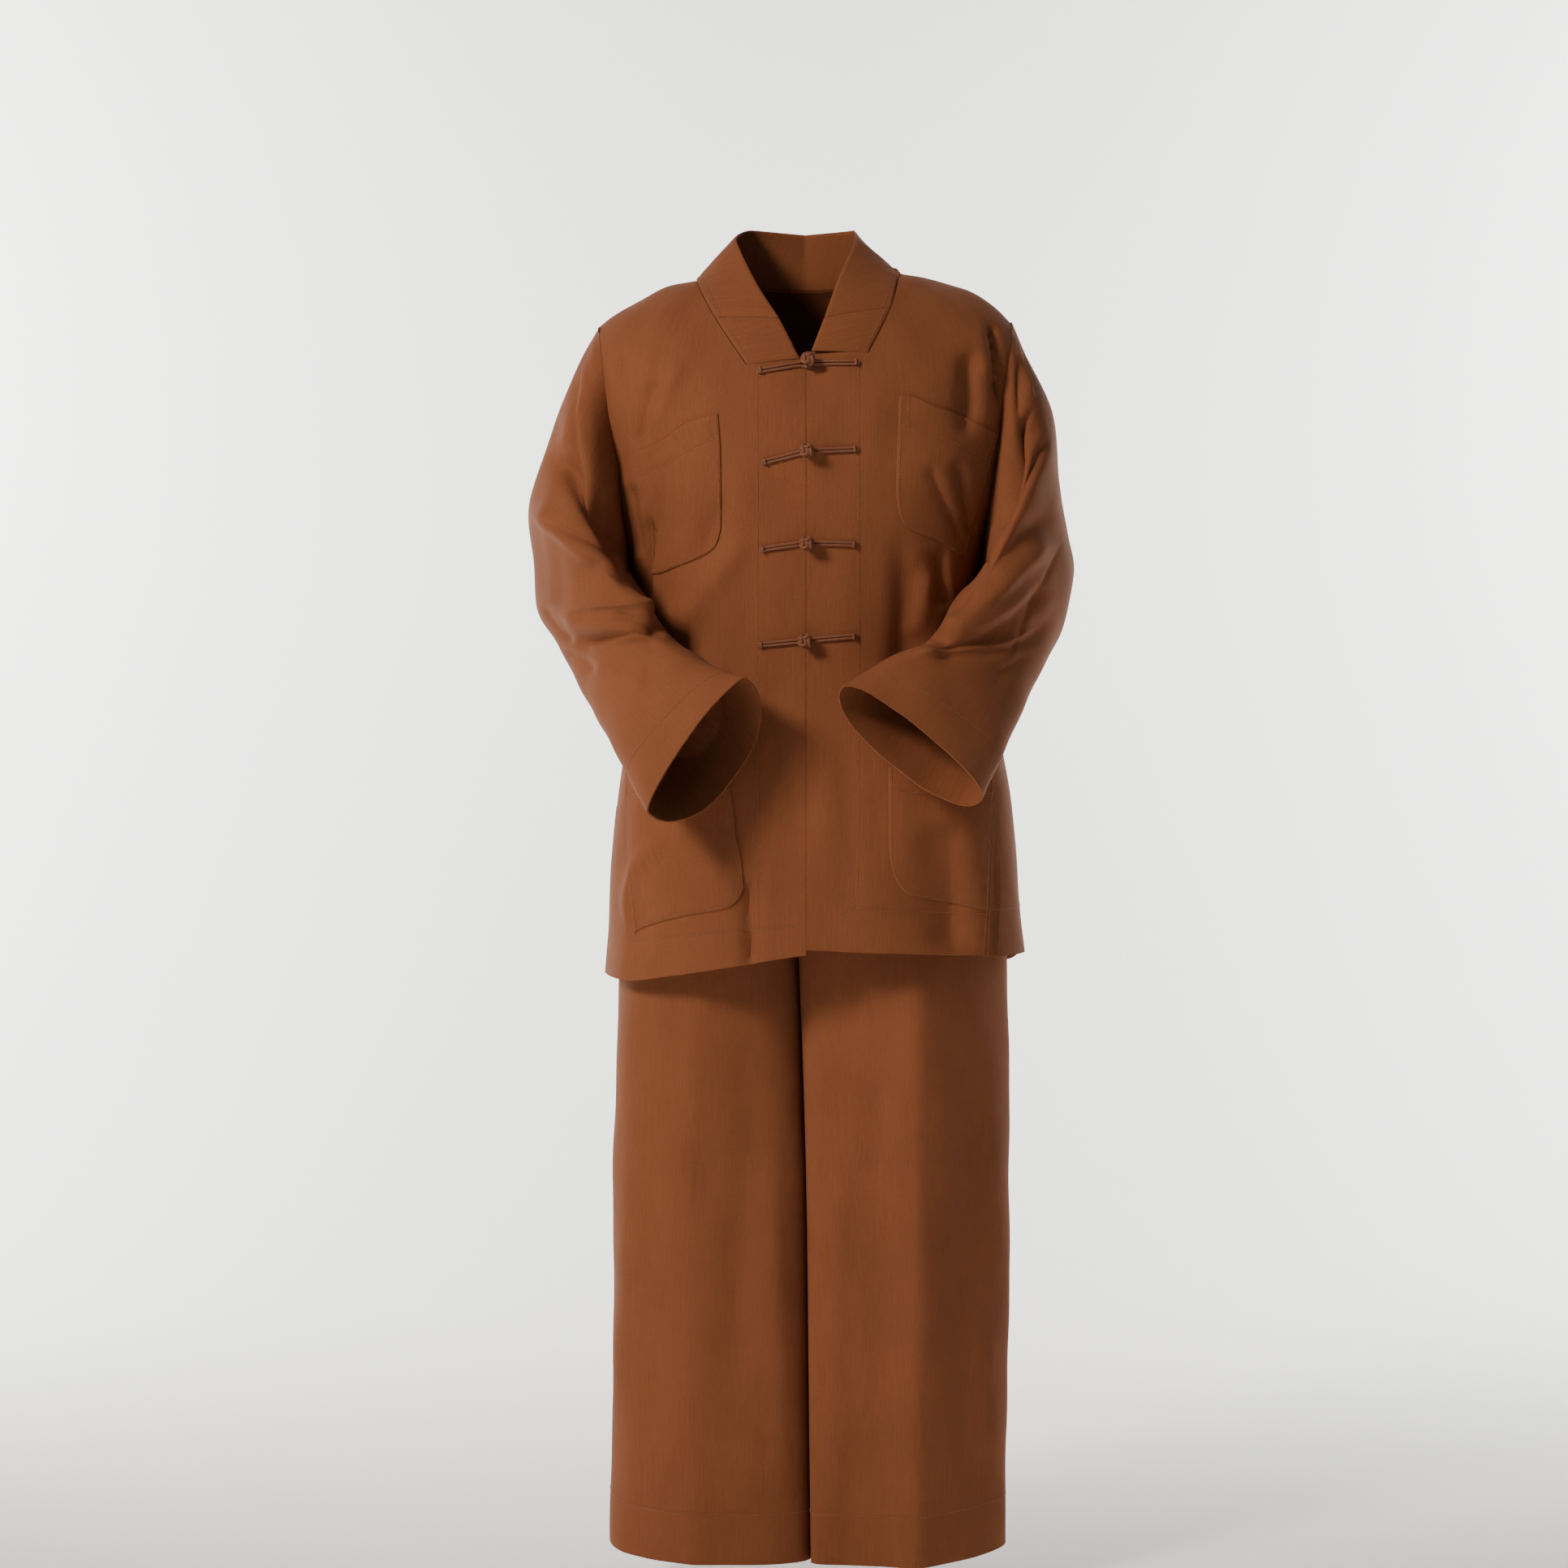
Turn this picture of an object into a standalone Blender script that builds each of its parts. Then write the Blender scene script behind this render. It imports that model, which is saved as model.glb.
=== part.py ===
"""Two-piece monk's suit: a V-neck jacket with knotted frogs and patch pockets over wide trousers.

Run with: blender --background --python part.py
Metres, +Z up. The front faces -Y. The origin lies between the shoulders, where the suit is held.
Left is the viewer's left, at -X. Every piece is a wall of cloth through sections given below.
"""

import math

import bmesh
import bpy
import numpy as np
from mathutils import Vector
from mathutils.bvhtree import BVHTree

# Cloth and seams
JACKET_CLOTH = 0.0018
TROUSER_CLOTH = 0.0016
POCKET_CLOTH = 0.0012
COLLAR_CLOTH = 0.0030
SEAM = 0.0004
LIE = 0.0003

# Jacket sections: half widths and depths at a height, about a middle line at y = middle
SQUARENESS = 2.5
BODY_COLUMNS = ("z", "left", "right", "front", "back", "middle")
BODY = (
    (0.040, 0.272, 0.272, 0.132, 0.100, 0.012),
    (-0.060, 0.2615, 0.2615, 0.138, 0.112, 0.010),
    (-0.150, 0.2395, 0.2395, 0.142, 0.120, 0.008),
    (-0.250, 0.2160, 0.2160, 0.144, 0.120, 0.006),
    (-0.335, 0.196, 0.196, 0.142, 0.116, 0.006),
    (-0.420, 0.184, 0.190, 0.140, 0.114, 0.006),
    (-0.500, 0.199, 0.215, 0.142, 0.120, 0.005),
    (-0.610, 0.215, 0.236, 0.149, 0.136, 0.004),
    (-0.700, 0.221, 0.244, 0.154, 0.142, 0.003),
    (-0.820, 0.229, 0.254, 0.160, 0.148, 0.003),
)

# Shoulder line: its height on each side by distance from the middle, and the drop to full depth
RIDGE_COLUMNS = ("x", "left", "right", "reach")
RIDGE = (
    (0.000, 0.0100, 0.0100, 0.200),
    (0.060, 0.0040, 0.0060, 0.185),
    (0.124, -0.0072, -0.0020, 0.165),
    (0.156, -0.0148, -0.0092, 0.150),
    (0.184, -0.0275, -0.0180, 0.138),
    (0.213, -0.0450, -0.0355, 0.125),
    (0.232, -0.0605, -0.0535, 0.115),
    (0.270, -0.1030, -0.1000, 0.100),
)
FRONT_ROUNDING = 2.0
BACK_ROUNDING = 2.6

# Edges of the fronts and the back on each side, as distance from the middle and height
FOOT_INNER = {"left": (0.0000, -0.1015), "right": (0.0000, -0.0935)}
NECKLINE = {
    "left": ((0.0655, -0.1085), (0.0910, -0.0695), (0.1094, -0.0386), (0.1240, -0.0072)),
    "right": ((0.0690, -0.0945), (0.0850, -0.0640), (0.0965, -0.0370), (0.1060, 0.0007)),
}
BACK_NECKLINE = ((0.0900, -0.0110), (0.0500, -0.0130), (0.0000, -0.0140))
SHOULDER_TIP = 0.232
UNDERARM = (0.196, -0.335)
HEM_TURNS = (0.0, 13.4, 32.0, 56.0, 90.0)
FOOT_STEPS = 3
NECK_STEPS = 5
SHOULDER_STEPS = 4
ARMHOLE_STEPS = 6
BACK_ARMHOLE_STEPS = 4
BODY_ROWS = 19
ROW_SPREAD = 1.3
FINE_STEPS = 200

# Jacket hem heights, and the side seams' turn from the centre front, by height
HEM_COLUMNS = ("turn", "left", "right")
HEM = (
    (0.0, -0.756, -0.750),
    (12.0, -0.766, -0.7535),
    (35.0, -0.780, -0.757),
    (60.0, -0.790, -0.763),
    (90.0, -0.789, -0.765),
    (115.0, -0.796, -0.784),
    (180.0, -0.792, -0.792),
)
SIDE_SEAM_COLUMNS = ("z", "left", "right")
SIDE_SEAM = (
    (-0.820, 90.0, 49.0),
    (-0.700, 90.0, 55.5),
    (-0.560, 90.0, 63.0),
    (-0.450, 90.0, 80.0),
    (-0.380, 90.0, 89.5),
    (-0.335, 90.0, 90.0),
)
VENT_TOP = -0.612
VENT_TURN = {"left": 1.0, "right": 0.12}
VENT_FLARE = -0.0015

# Collar: neck edge of the band at each step from its front end to the centre back
COLLAR_COLUMNS = ("step", "x", "y", "z")
COLLAR = {
    "left": (
        (0.0, 0.0065, -0.1190, -0.1010),
        (2.0, 0.0300, -0.0960, -0.0550),
        (3.6, 0.0565, -0.0560, -0.0106),
        (5.0, 0.0790, 0.0000, 0.0400),
        (7.0, 0.0600, 0.0560, 0.0540),
        (10.0, 0.0000, 0.0760, 0.0500),
    ),
    "right": (
        (0.0, 0.0060, -0.1190, -0.0930),
        (2.0, 0.0205, -0.1000, -0.0545),
        (3.6, 0.0370, -0.0650, -0.0080),
        (5.0, 0.0570, -0.0060, 0.0400),
        (7.0, 0.0560, 0.0520, 0.0540),
        (10.0, 0.0000, 0.0760, 0.0500),
    ),
}
COLLAR_END_STEPS = 2
COLLAR_BANDS = 3
COLLAR_BULGE = 0.0015
COLLAR_RISE = 0.0004

# Sleeves: the outer and the inner line of the arm, and the depth before and behind them
SLEEVE_COLUMNS = ("outer_x", "outer_y", "outer_z", "inner_x", "inner_y", "inner_z",
                  "before", "behind")
SLEEVES = {
    "left": (
        (0.257, 0.000, -0.104, 0.197, -0.010, -0.340, 0.088, 0.080),
        (0.287, 0.000, -0.183, 0.190, -0.045, -0.348, 0.098, 0.085),
        (0.313, 0.010, -0.256, 0.181, -0.078, -0.358, 0.098, 0.085),
        (0.308, 0.020, -0.322, 0.172, -0.103, -0.371, 0.090, 0.078),
        (0.304, 0.030, -0.380, 0.162, -0.125, -0.387, 0.078, 0.068),
        (0.273, 0.008, -0.423, 0.147, -0.145, -0.407, 0.066, 0.058),
        (0.240, -0.062, -0.480, 0.120, -0.168, -0.425, 0.050, 0.056),
        (0.205, -0.146, -0.538, 0.092, -0.190, -0.440, 0.032, 0.064),
        (0.170, -0.232, -0.595, 0.064, -0.212, -0.449, 0.018, 0.072),
    ),
    "right": (
        (0.247, 0.000, -0.086, 0.197, -0.010, -0.340, 0.088, 0.080),
        (0.280, 0.000, -0.157, 0.187, -0.045, -0.347, 0.098, 0.085),
        (0.287, 0.008, -0.230, 0.174, -0.078, -0.356, 0.098, 0.085),
        (0.299, 0.020, -0.293, 0.160, -0.103, -0.373, 0.092, 0.078),
        (0.3065, 0.030, -0.340, 0.147, -0.125, -0.397, 0.082, 0.068),
        (0.288, 0.008, -0.403, 0.130, -0.146, -0.415, 0.070, 0.058),
        (0.256, -0.062, -0.456, 0.105, -0.168, -0.423, 0.052, 0.052),
        (0.224, -0.146, -0.514, 0.072, -0.190, -0.437, 0.036, 0.048),
        (0.188, -0.232, -0.580, 0.038, -0.212, -0.459, 0.026, 0.046),
    ),
}
SLEEVE_ROWS = 24
SLEEVE_ROUND = 0.92
ELBOW_ROW = 3
CLEAR_OF_BODY = 0.007

# Largest folds, seen from the front or back: a soft ridge (height over 0) or trough along an arc
# from start to end, its width to the left and right of someone who walks along it, and its fades
FOLD_COLUMNS = ("piece", "face", "x0", "z0", "x1", "z1", "bow", "left", "right", "height", "fade")
FOLDS = (
    ("sleeve_left", -1, -0.289, -0.195, -0.182, -0.352, 0.010, 0.016, 0.014, -0.013, 0.18),
    ("sleeve_left", -1, -0.312, -0.262, -0.160, -0.392, 0.006, 0.018, 0.009, 0.010, 0.15),
    ("sleeve_left", -1, -0.250, -0.320, -0.185, -0.365, 0.004, 0.010, 0.012, -0.005, 0.30),
    ("sleeve_left", -1, -0.285, -0.375, -0.160, -0.398, -0.010, 0.014, 0.012, 0.007, 0.25),
    ("sleeve_left", -1, -0.262, -0.420, -0.150, -0.412, 0.004, 0.010, 0.012, -0.007, 0.20),
    ("sleeve_left", -1, -0.262, -0.130, -0.262, -0.215, 0.000, 0.014, 0.014, 0.006, 0.35),
    ("sleeve_right", -1, 0.280, -0.150, 0.150, -0.395, -0.020, 0.016, 0.020, -0.012, 0.18),
    ("sleeve_right", -1, 0.262, -0.140, 0.205, -0.300, -0.008, 0.014, 0.014, -0.008, 0.30),
    ("sleeve_right", -1, 0.262, -0.352, 0.140, -0.405, 0.010, 0.012, 0.016, 0.009, 0.22),
    ("sleeve_right", -1, 0.285, -0.385, 0.125, -0.420, 0.014, 0.012, 0.012, -0.007, 0.20),
    ("sleeve_left", 1, -0.285, -0.240, -0.200, -0.360, 0.010, 0.016, 0.016, -0.009, 0.25),
    ("sleeve_left", 1, -0.300, -0.330, -0.190, -0.400, 0.008, 0.016, 0.014, 0.008, 0.25),
    ("sleeve_right", 1, 0.275, -0.220, 0.200, -0.365, -0.010, 0.016, 0.016, -0.009, 0.25),
    ("sleeve_right", 1, 0.298, -0.320, 0.190, -0.405, -0.008, 0.014, 0.016, 0.008, 0.25),
    ("body", -1, -0.185, -0.150, -0.160, -0.330, 0.012, 0.018, 0.020, -0.007, 0.30),
    ("body", -1, 0.185, -0.085, 0.178, -0.180, 0.006, 0.014, 0.016, -0.006, 0.35),
    ("body", -1, 0.112, -0.300, 0.118, -0.480, 0.004, 0.016, 0.020, -0.008, 0.30),
    ("body", -1, -0.070, -0.300, -0.150, -0.420, -0.010, 0.022, 0.022, 0.004, 0.35),
    ("body", -1, -0.062, -0.660, -0.060, -0.800, 0.004, 0.012, 0.014, -0.004, 0.20),
    ("body", -1, 0.150, -0.560, 0.160, -0.740, 0.006, 0.022, 0.022, 0.004, 0.30),
    ("body", 1, -0.120, -0.120, -0.060, -0.420, 0.016, 0.022, 0.022, -0.006, 0.30),
    ("body", 1, 0.130, -0.140, 0.070, -0.400, -0.014, 0.022, 0.022, -0.006, 0.30),
    ("body", 1, 0.020, -0.380, 0.035, -0.760, 0.010, 0.024, 0.024, 0.005, 0.30),
)

# Trousers: hips down to the crotch, then one section a leg
HIP_COLUMNS = ("z", "left", "right", "front", "back")
HIP = (
    (-0.440, 0.158, 0.162, 0.112, 0.098),
    (-0.520, 0.176, 0.186, 0.118, 0.108),
    (-0.620, 0.196, 0.212, 0.122, 0.1395),
    (-0.720, 0.206, 0.222, 0.122, 0.124),
    (-0.820, 0.212, 0.230, 0.116, 0.116),
)
LEG_COLUMNS = ("z", "left_inner", "left_outer", "right_inner", "right_outer", "front", "back")
LEG = (
    (-0.700, -0.0085, -0.206, -0.0085, 0.224, 0.112, 0.112),
    (-0.750, -0.0078, -0.2093, -0.0082, 0.2278, 0.1068, 0.108),
    (-0.800, -0.0056, -0.2120, -0.0066, 0.2307, 0.1026, 0.105),
    (-0.880, -0.0022, -0.2150, -0.0032, 0.2325, 0.098, 0.102),
    (-1.060, 0.0025, -0.2190, 0.0015, 0.2345, 0.090, 0.096),
    (-1.308, 0.0053, -0.2205, 0.0043, 0.2318, 0.081, 0.089),
    (-1.454, 0.0072, -0.2256, 0.0062, 0.2308, 0.076, 0.084),
)
LEG_MIDDLE = 0.004
INSEAM_Y = {"left": -0.028, "right": -0.058}
LEG_SQUARENESS = 2.3
FRONT_OUTER_SQUARENESS = {"left": 2.3, "right": 1.55}
CROTCH = (-0.590, -0.725)
TROUSER_HEM_FRONT = (-1.456, -1.458)
TROUSER_HEM_INNER = (-1.4590, -1.4565)
TROUSER_HEM_OUTER = (-1.443, -1.450)
LEG_COLUMNS_COUNT = 9
LEG_ROWS = 14
LEG_CREASE = (("left", -0.128, 0.0035, 0.026), ("right", 0.128, 0.0110, 0.034))
WAISTBAND = (-0.437, -0.402)
WAISTBAND_COLUMNS = 28

# Patch pockets: corners on the fronts (x, z), anticlockwise from the upper left
POCKETS = {
    "chest_pocket_left": ("front_left", ((-0.2000, -0.2101), (-0.1745, -0.3300), (-0.1660, -0.3385),
                                         (-0.1240, -0.3232), (-0.1059, -0.3143), (-0.0945, -0.3000),
                                         (-0.0925, -0.2850), (-0.0962, -0.1613))),
    "chest_pocket_right": ("front_right", ((0.1025, -0.1427), (0.0990, -0.2433), (0.1050, -0.2800),
                                           (0.1140, -0.2920), (0.1700, -0.3180), (0.1790, -0.3165),
                                           (0.2095, -0.1800))),
    "lower_pocket_left": ("front_left", ((-0.1990, -0.5480), (-0.2020, -0.7240), (-0.1904, -0.7375),
                                         (-0.0880, -0.7045), (-0.0745, -0.6960), (-0.0690, -0.6800),
                                         (-0.0860, -0.5480))),
    "lower_pocket_right": ("front_right", ((0.0905, -0.5480), (0.1008, -0.6766), (0.1045, -0.6870),
                                           (0.1151, -0.6930), (0.2050, -0.7130), (0.2100, -0.5480))),
}

# Frogs: height of each knot, and how far its strips reach and rise at their outer ends
FROG_COLUMNS = ("knot_x", "knot_z", "left_x", "left_z", "right_x", "right_z")
FROGS = (
    (0.0016, -0.1070, -0.0525, -0.1160, 0.0575, -0.1065),
    (0.0016, -0.2035, -0.0475, -0.2158, 0.0565, -0.2012),
    (0.0008, -0.3035, -0.0498, -0.3108, 0.0550, -0.3050),
    (-0.0008, -0.4105, -0.0516, -0.4156, 0.0550, -0.4055),
)
CORD_RADIUS = 0.00155
CORD_GAP = 0.0003
CORD_SIDES = 6
STRIP_STEPS = 4
STRIP_PROFILE = ((-1.0, 0.0), (-0.55, 1.0), (0.0, 0.55), (0.55, 1.0),
                 (1.0, 0.0), (0.55, -1.0), (0.0, -0.8), (-0.55, -1.0))
STRIP_NARROWING = 0.45
STRIP_END = 0.0045
LOOP_RADIUS = 0.0052
LOOP_STEPS = 8
LOOP_MOUTH = 0.22 * math.pi
LOOP_START = 0.004
LOOP_RISE_RUN = 0.0073
KNOT_RADIUS = 0.0085
KNOT_DEPTH = 0.0048
KNOT_NECK = 0.0019
KNOT_LIFT = 0.0122
KNOT_LATITUDES = (-62, -32, 0, 32, 62)
KNOT_TIP = 0.12
NECK_INSET = 0.001
NECK_FOOT = 0.0012

# Cloth colours by piece
COLOURS = {
    "front": (0.270, 0.092, 0.035),
    "back": (0.250, 0.084, 0.032),
    "sleeve": (0.290, 0.100, 0.039),
    "collar": (0.262, 0.088, 0.034),
    "chest": (0.240, 0.080, 0.030),
    "lower": (0.240, 0.080, 0.030),
    "frog": (0.220, 0.072, 0.027),
    "leg": (0.275, 0.094, 0.036),
    "waistband": (0.255, 0.086, 0.033),
}
ROUGHNESS = 0.85
SIDES = {"left": -1, "right": 1}


def cubic(xs, ys, at):
    """Monotone cubic curve through the points (xs, ys), read at `at`."""
    xs = np.asarray(xs, float)
    ys = np.asarray(ys, float)
    if xs[0] > xs[-1]:
        xs, ys = xs[::-1], ys[::-1]
    at = np.clip(np.asarray(at, float), xs[0], xs[-1])
    step = np.diff(xs)
    rise = np.diff(ys) / step
    slope = np.zeros_like(ys)
    slope[0], slope[-1] = rise[0], rise[-1]
    same = rise[:-1] * rise[1:] > 0
    weight_a = 2 * step[1:] + step[:-1]
    weight_b = step[1:] + 2 * step[:-1]
    with np.errstate(divide="ignore", invalid="ignore"):
        mean = (weight_a + weight_b) / (weight_a / rise[:-1] + weight_b / rise[1:])
    slope[1:-1] = np.where(same, mean, 0.0)
    k = np.clip(np.searchsorted(xs, at, side="right") - 1, 0, len(step) - 1)
    t = (at - xs[k]) / step[k]
    return (ys[k] * (1 + 2 * t) * (1 - t) ** 2 + slope[k] * step[k] * t * (1 - t) ** 2
            + ys[k + 1] * t * t * (3 - 2 * t) + slope[k + 1] * step[k] * t * t * (t - 1))


def read(table, names, name, at):
    """Column `name` of a table, along its first column."""
    return cubic([row[0] for row in table], [row[names.index(name)] for row in table], at)


def smoothstep(t):
    t = np.clip(t, 0.0, 1.0)
    return t * t * (3 - 2 * t)


def power(value, exponent):
    """Signed power, for superellipse sections."""
    return np.sign(value) * np.abs(value) ** exponent


def ridge(x):
    """Height of the shoulder line over x."""
    return np.where(np.asarray(x) < 0, read(RIDGE, RIDGE_COLUMNS, "left", np.abs(x)),
                    read(RIDGE, RIDGE_COLUMNS, "right", np.abs(x)))


def fullness(x, z, rounding):
    """Share of the body's depth reached at (x, z) below the shoulder line."""
    reach = read(RIDGE, RIDGE_COLUMNS, "reach", np.abs(x))
    drop = np.clip((ridge(x) - z) / reach, 0.0, 1.0)
    return (1 - (1 - drop) ** rounding) ** (1 / rounding)


def body(side, turn, z):
    """Outer cloth of the jacket at a turn in degrees from the centre front, and a height."""
    half = read(BODY, BODY_COLUMNS, side, z)
    angle = np.radians(turn)
    x = SIDES[side] * half * power(np.sin(angle), 2 / SQUARENESS)
    ahead = np.cos(angle) > 0
    depth = np.where(ahead, read(BODY, BODY_COLUMNS, "front", z),
                     read(BODY, BODY_COLUMNS, "back", z))
    share = np.where(ahead, fullness(x, z, FRONT_ROUNDING), fullness(x, z, BACK_ROUNDING))
    y = read(BODY, BODY_COLUMNS, "middle", z) - depth * share * power(np.cos(angle), 2 / SQUARENESS)
    return np.stack([x, y, np.broadcast_to(z, x.shape)], axis=-1)


def tip_height(side):
    return float(ridge(SIDES[side] * SHOULDER_TIP))


def turn_at(side, x, z):
    """Turn from the centre front at which the section at z reaches x, on the front."""
    half = read(BODY, BODY_COLUMNS, side, z)
    return np.degrees(np.arcsin(np.clip(np.abs(x) / half, 0, 1) ** (SQUARENESS / 2)))


def armhole(side, t):
    """Armhole edge (x, z) from the shoulder tip, t = 0, to the underarm, t = 1; it is flat."""
    top = tip_height(side)
    return SHOULDER_TIP + (UNDERARM[0] - SHOULDER_TIP) * t, top + (UNDERARM[1] - top) * t


def lengths(points):
    """Length along a line of points, from its start to each point."""
    return np.concatenate([[0.0], np.cumsum(np.linalg.norm(np.diff(points, axis=0), axis=1))])


def along(side, points, steps):
    """(x, z) at even steps over the jacket along a smooth line through a few points."""
    points = np.array(points)
    length = lengths(points)
    at = np.linspace(0, length[-1], FINE_STEPS)
    return evenly(side, cubic(length, points[:, 0], at), cubic(length, points[:, 1], at), steps)


def evenly(side, x, z, steps):
    """A finely stepped line over the jacket taken at even steps of its true length."""
    length = lengths(body(side, turn_at(side, x, z), z))
    at = np.linspace(0, length[-1], steps + 1)
    return np.interp(at, length, x), np.interp(at, length, z)


def top_edge(side, armhole_steps, with_foot):
    """Upper edge of a front or half back, as x, z and hem turn, and its shoulder's columns."""
    xs, zs, hems = [], [], []

    def add(x, z, first, last):
        skip = 1 if xs else 0
        share = np.linspace(first, last, len(x))
        xs.extend(x[skip:])
        zs.extend(z[skip:])
        hems.extend(share[skip:])

    neckline = NECKLINE[side]
    if with_foot:
        add(*along(side, (FOOT_INNER[side], neckline[0]), FOOT_STEPS), HEM_TURNS[0], HEM_TURNS[1])
        add(*along(side, neckline, NECK_STEPS), HEM_TURNS[1], HEM_TURNS[2])
    else:
        add(*along(side, BACK_NECKLINE[::-1] + neckline[-1:], NECK_STEPS), HEM_TURNS[0], HEM_TURNS[2])
    first = len(xs) - 1
    shoulder = np.linspace(neckline[-1][0], SHOULDER_TIP, SHOULDER_STEPS + 1)
    add(shoulder, ridge(SIDES[side] * shoulder), HEM_TURNS[2], HEM_TURNS[3])
    last = len(xs) - 1
    fine = armhole(side, np.linspace(0, 1, FINE_STEPS))
    add(*evenly(side, *fine, armhole_steps), HEM_TURNS[3], HEM_TURNS[4])
    return np.array(xs), np.array(zs), np.array(hems), (first, last)


def folded(piece, skin, normals, face_of):
    """The skin moved along its normals by the folds of a piece."""
    x, z = skin[..., 0], skin[..., 2]
    lift = np.zeros_like(x)
    for row in FOLDS:
        fold = dict(zip(FOLD_COLUMNS, row))
        if fold["piece"] != piece:
            continue
        run = np.array([fold["x1"] - fold["x0"], fold["z1"] - fold["z0"]])
        length = np.linalg.norm(run)
        run /= length
        t = ((x - fold["x0"]) * run[0] + (z - fold["z0"]) * run[1]) / length
        across = run[0] * (z - fold["z0"]) - run[1] * (x - fold["x0"]) - fold["bow"] * 4 * t * (1 - t)
        width = np.where(across > 0, fold["left"], fold["right"])
        ends = smoothstep(t / fold["fade"]) * smoothstep((1 - t) / fold["fade"])
        facing = smoothstep(fold["face"] * face_of[..., 1] / 0.4)
        lift += fold["height"] * np.exp(-(across / width) ** 2) * ends * facing
    return skin + normals * lift[..., None]


def grid_normals(grid, away):
    """Unit normals of a grid of points with one spare row and column all round."""
    down = grid[2:, 1:-1] - grid[:-2, 1:-1]
    over = grid[1:-1, 2:] - grid[1:-1, :-2]
    normal = np.cross(down, over)
    normal /= np.maximum(np.linalg.norm(normal, axis=-1, keepdims=True), 1e-12)
    side = np.sum(normal * away, axis=-1)
    return normal if np.sum(side) > 0 else -normal


def spread(values, spare):
    """A grid of values continued by reflection past its four edges."""
    for _axis in range(2):
        first, last = values[:, :1], values[:, -1:]
        head = 2 * first - values[:, spare:0:-1]
        tail = 2 * last - values[:, -2:-2 - spare:-1]
        values = np.concatenate([head, values, tail], axis=1).T
    return values


def body_panel(side, turn, z, shoulder):
    """Skin and normals of a jacket panel from its grid of turns and heights."""
    spare = 2
    wide = body(side, spread(turn, spare), spread(z, spare))
    middle = read(BODY, BODY_COLUMNS, "middle", wide[..., 2])
    columns = np.arange(wide.shape[1]) - spare
    at_shoulder = (columns >= shoulder[0]) & (columns <= shoulder[1])
    for k in range(1, spare + 1):
        above, below = spare - k, spare + k
        mirrored = wide[below].copy()
        mirrored[:, 1] = 2 * middle[below] - mirrored[:, 1]
        onward = 2 * wide[spare] - wide[below]
        wide[above] = np.where(at_shoulder[:, None], mirrored, onward)
    away = wide[1:-1, 1:-1] * np.array([1.0, 1.0, 0.0])
    normals = grid_normals(wide, away)
    moved = folded("body", wide[1:-1, 1:-1], normals, normals)
    skin, final = moved[1:-1, 1:-1], grid_normals(moved, away[1:-1, 1:-1])
    final[0, shoulder[1]:] = armhole_normals(side, skin[0, shoulder[1]:], final[0, shoulder[1]:])
    return skin, final


def armhole_normals(side, edge, normals):
    """Normals along an armhole edge: in its plane below the shoulder tip, the cloth's at the ends."""
    plane = armhole_plane(side)
    square = np.cross(np.gradient(edge, axis=0), plane)
    square /= np.linalg.norm(square, axis=-1, keepdims=True)
    middle = (edge[0] + edge[-1]) / 2
    square *= np.sign(np.sum(square * (edge - middle), axis=-1, keepdims=True))
    share = np.linspace(0, 1, len(edge))[:, None]
    mixed = square * (1 - share) + normals * share
    mixed -= plane * np.minimum(mixed @ plane, 0.0)[:, None]
    mixed /= np.linalg.norm(mixed, axis=-1, keepdims=True)
    mixed[0], mixed[-1] = normals[0], normals[-1]
    return mixed


def side_seam(side, z):
    return read(SIDE_SEAM, SIDE_SEAM_COLUMNS, side, z)


def vent(side, z):
    """How far each vent edge turns away from the seam, in degrees."""
    return VENT_TURN[side] * smoothstep((VENT_TOP - z) / 0.05)


def rows_down(top, hem, rows):
    share = (np.arange(rows + 1) / rows) ** ROW_SPREAD
    return top[None, :] + (hem - top)[None, :] * share[:, None]


def front_panel(side):
    """Grid of a front, from its centre edge to its side seam, and its armhole columns."""
    x, z_top, hems, shoulder = top_edge(side, ARMHOLE_STEPS, True)
    hem_share = side_seam(side, HEM[3][HEM_COLUMNS.index(side)]) / 90
    z_hem = read(HEM, HEM_COLUMNS, side, hems * hem_share)
    z = rows_down(z_top, z_hem, BODY_ROWS)
    start = turn_at(side, x, z_top)
    share = (z_top[None, :] - z) / (z_top - z_hem)[None, :]
    turn = start[None, :] + (hems - start)[None, :] * share
    turn = turn * (side_seam(side, z) - vent(side, z)) / 90
    skin, normals = body_panel(side, turn, z, shoulder)
    return skin + np.array([SIDES[side] * SEAM / 2, -SEAM / 2, 0.0]), normals, shoulder


def half_back(side):
    """Turn and height grids of half the back, from the centre back to the side seam."""
    x, z_top, hems, shoulder = top_edge(side, BACK_ARMHOLE_STEPS, False)
    seam = side_seam(side, HEM[3][HEM_COLUMNS.index(side)])
    z_hem = read(HEM, HEM_COLUMNS, side, 180 - hems * (180 - seam) / 90)
    z = rows_down(z_top, z_hem, BODY_ROWS)
    start = turn_at(side, x, z_top)
    share = (z_top[None, :] - z) / (z_top - z_hem)[None, :]
    turn = start[None, :] + (hems - start)[None, :] * share
    turn = turn * (180 - side_seam(side, z) - vent(side, z)) / 90
    return 180 - turn, z, shoulder


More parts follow.
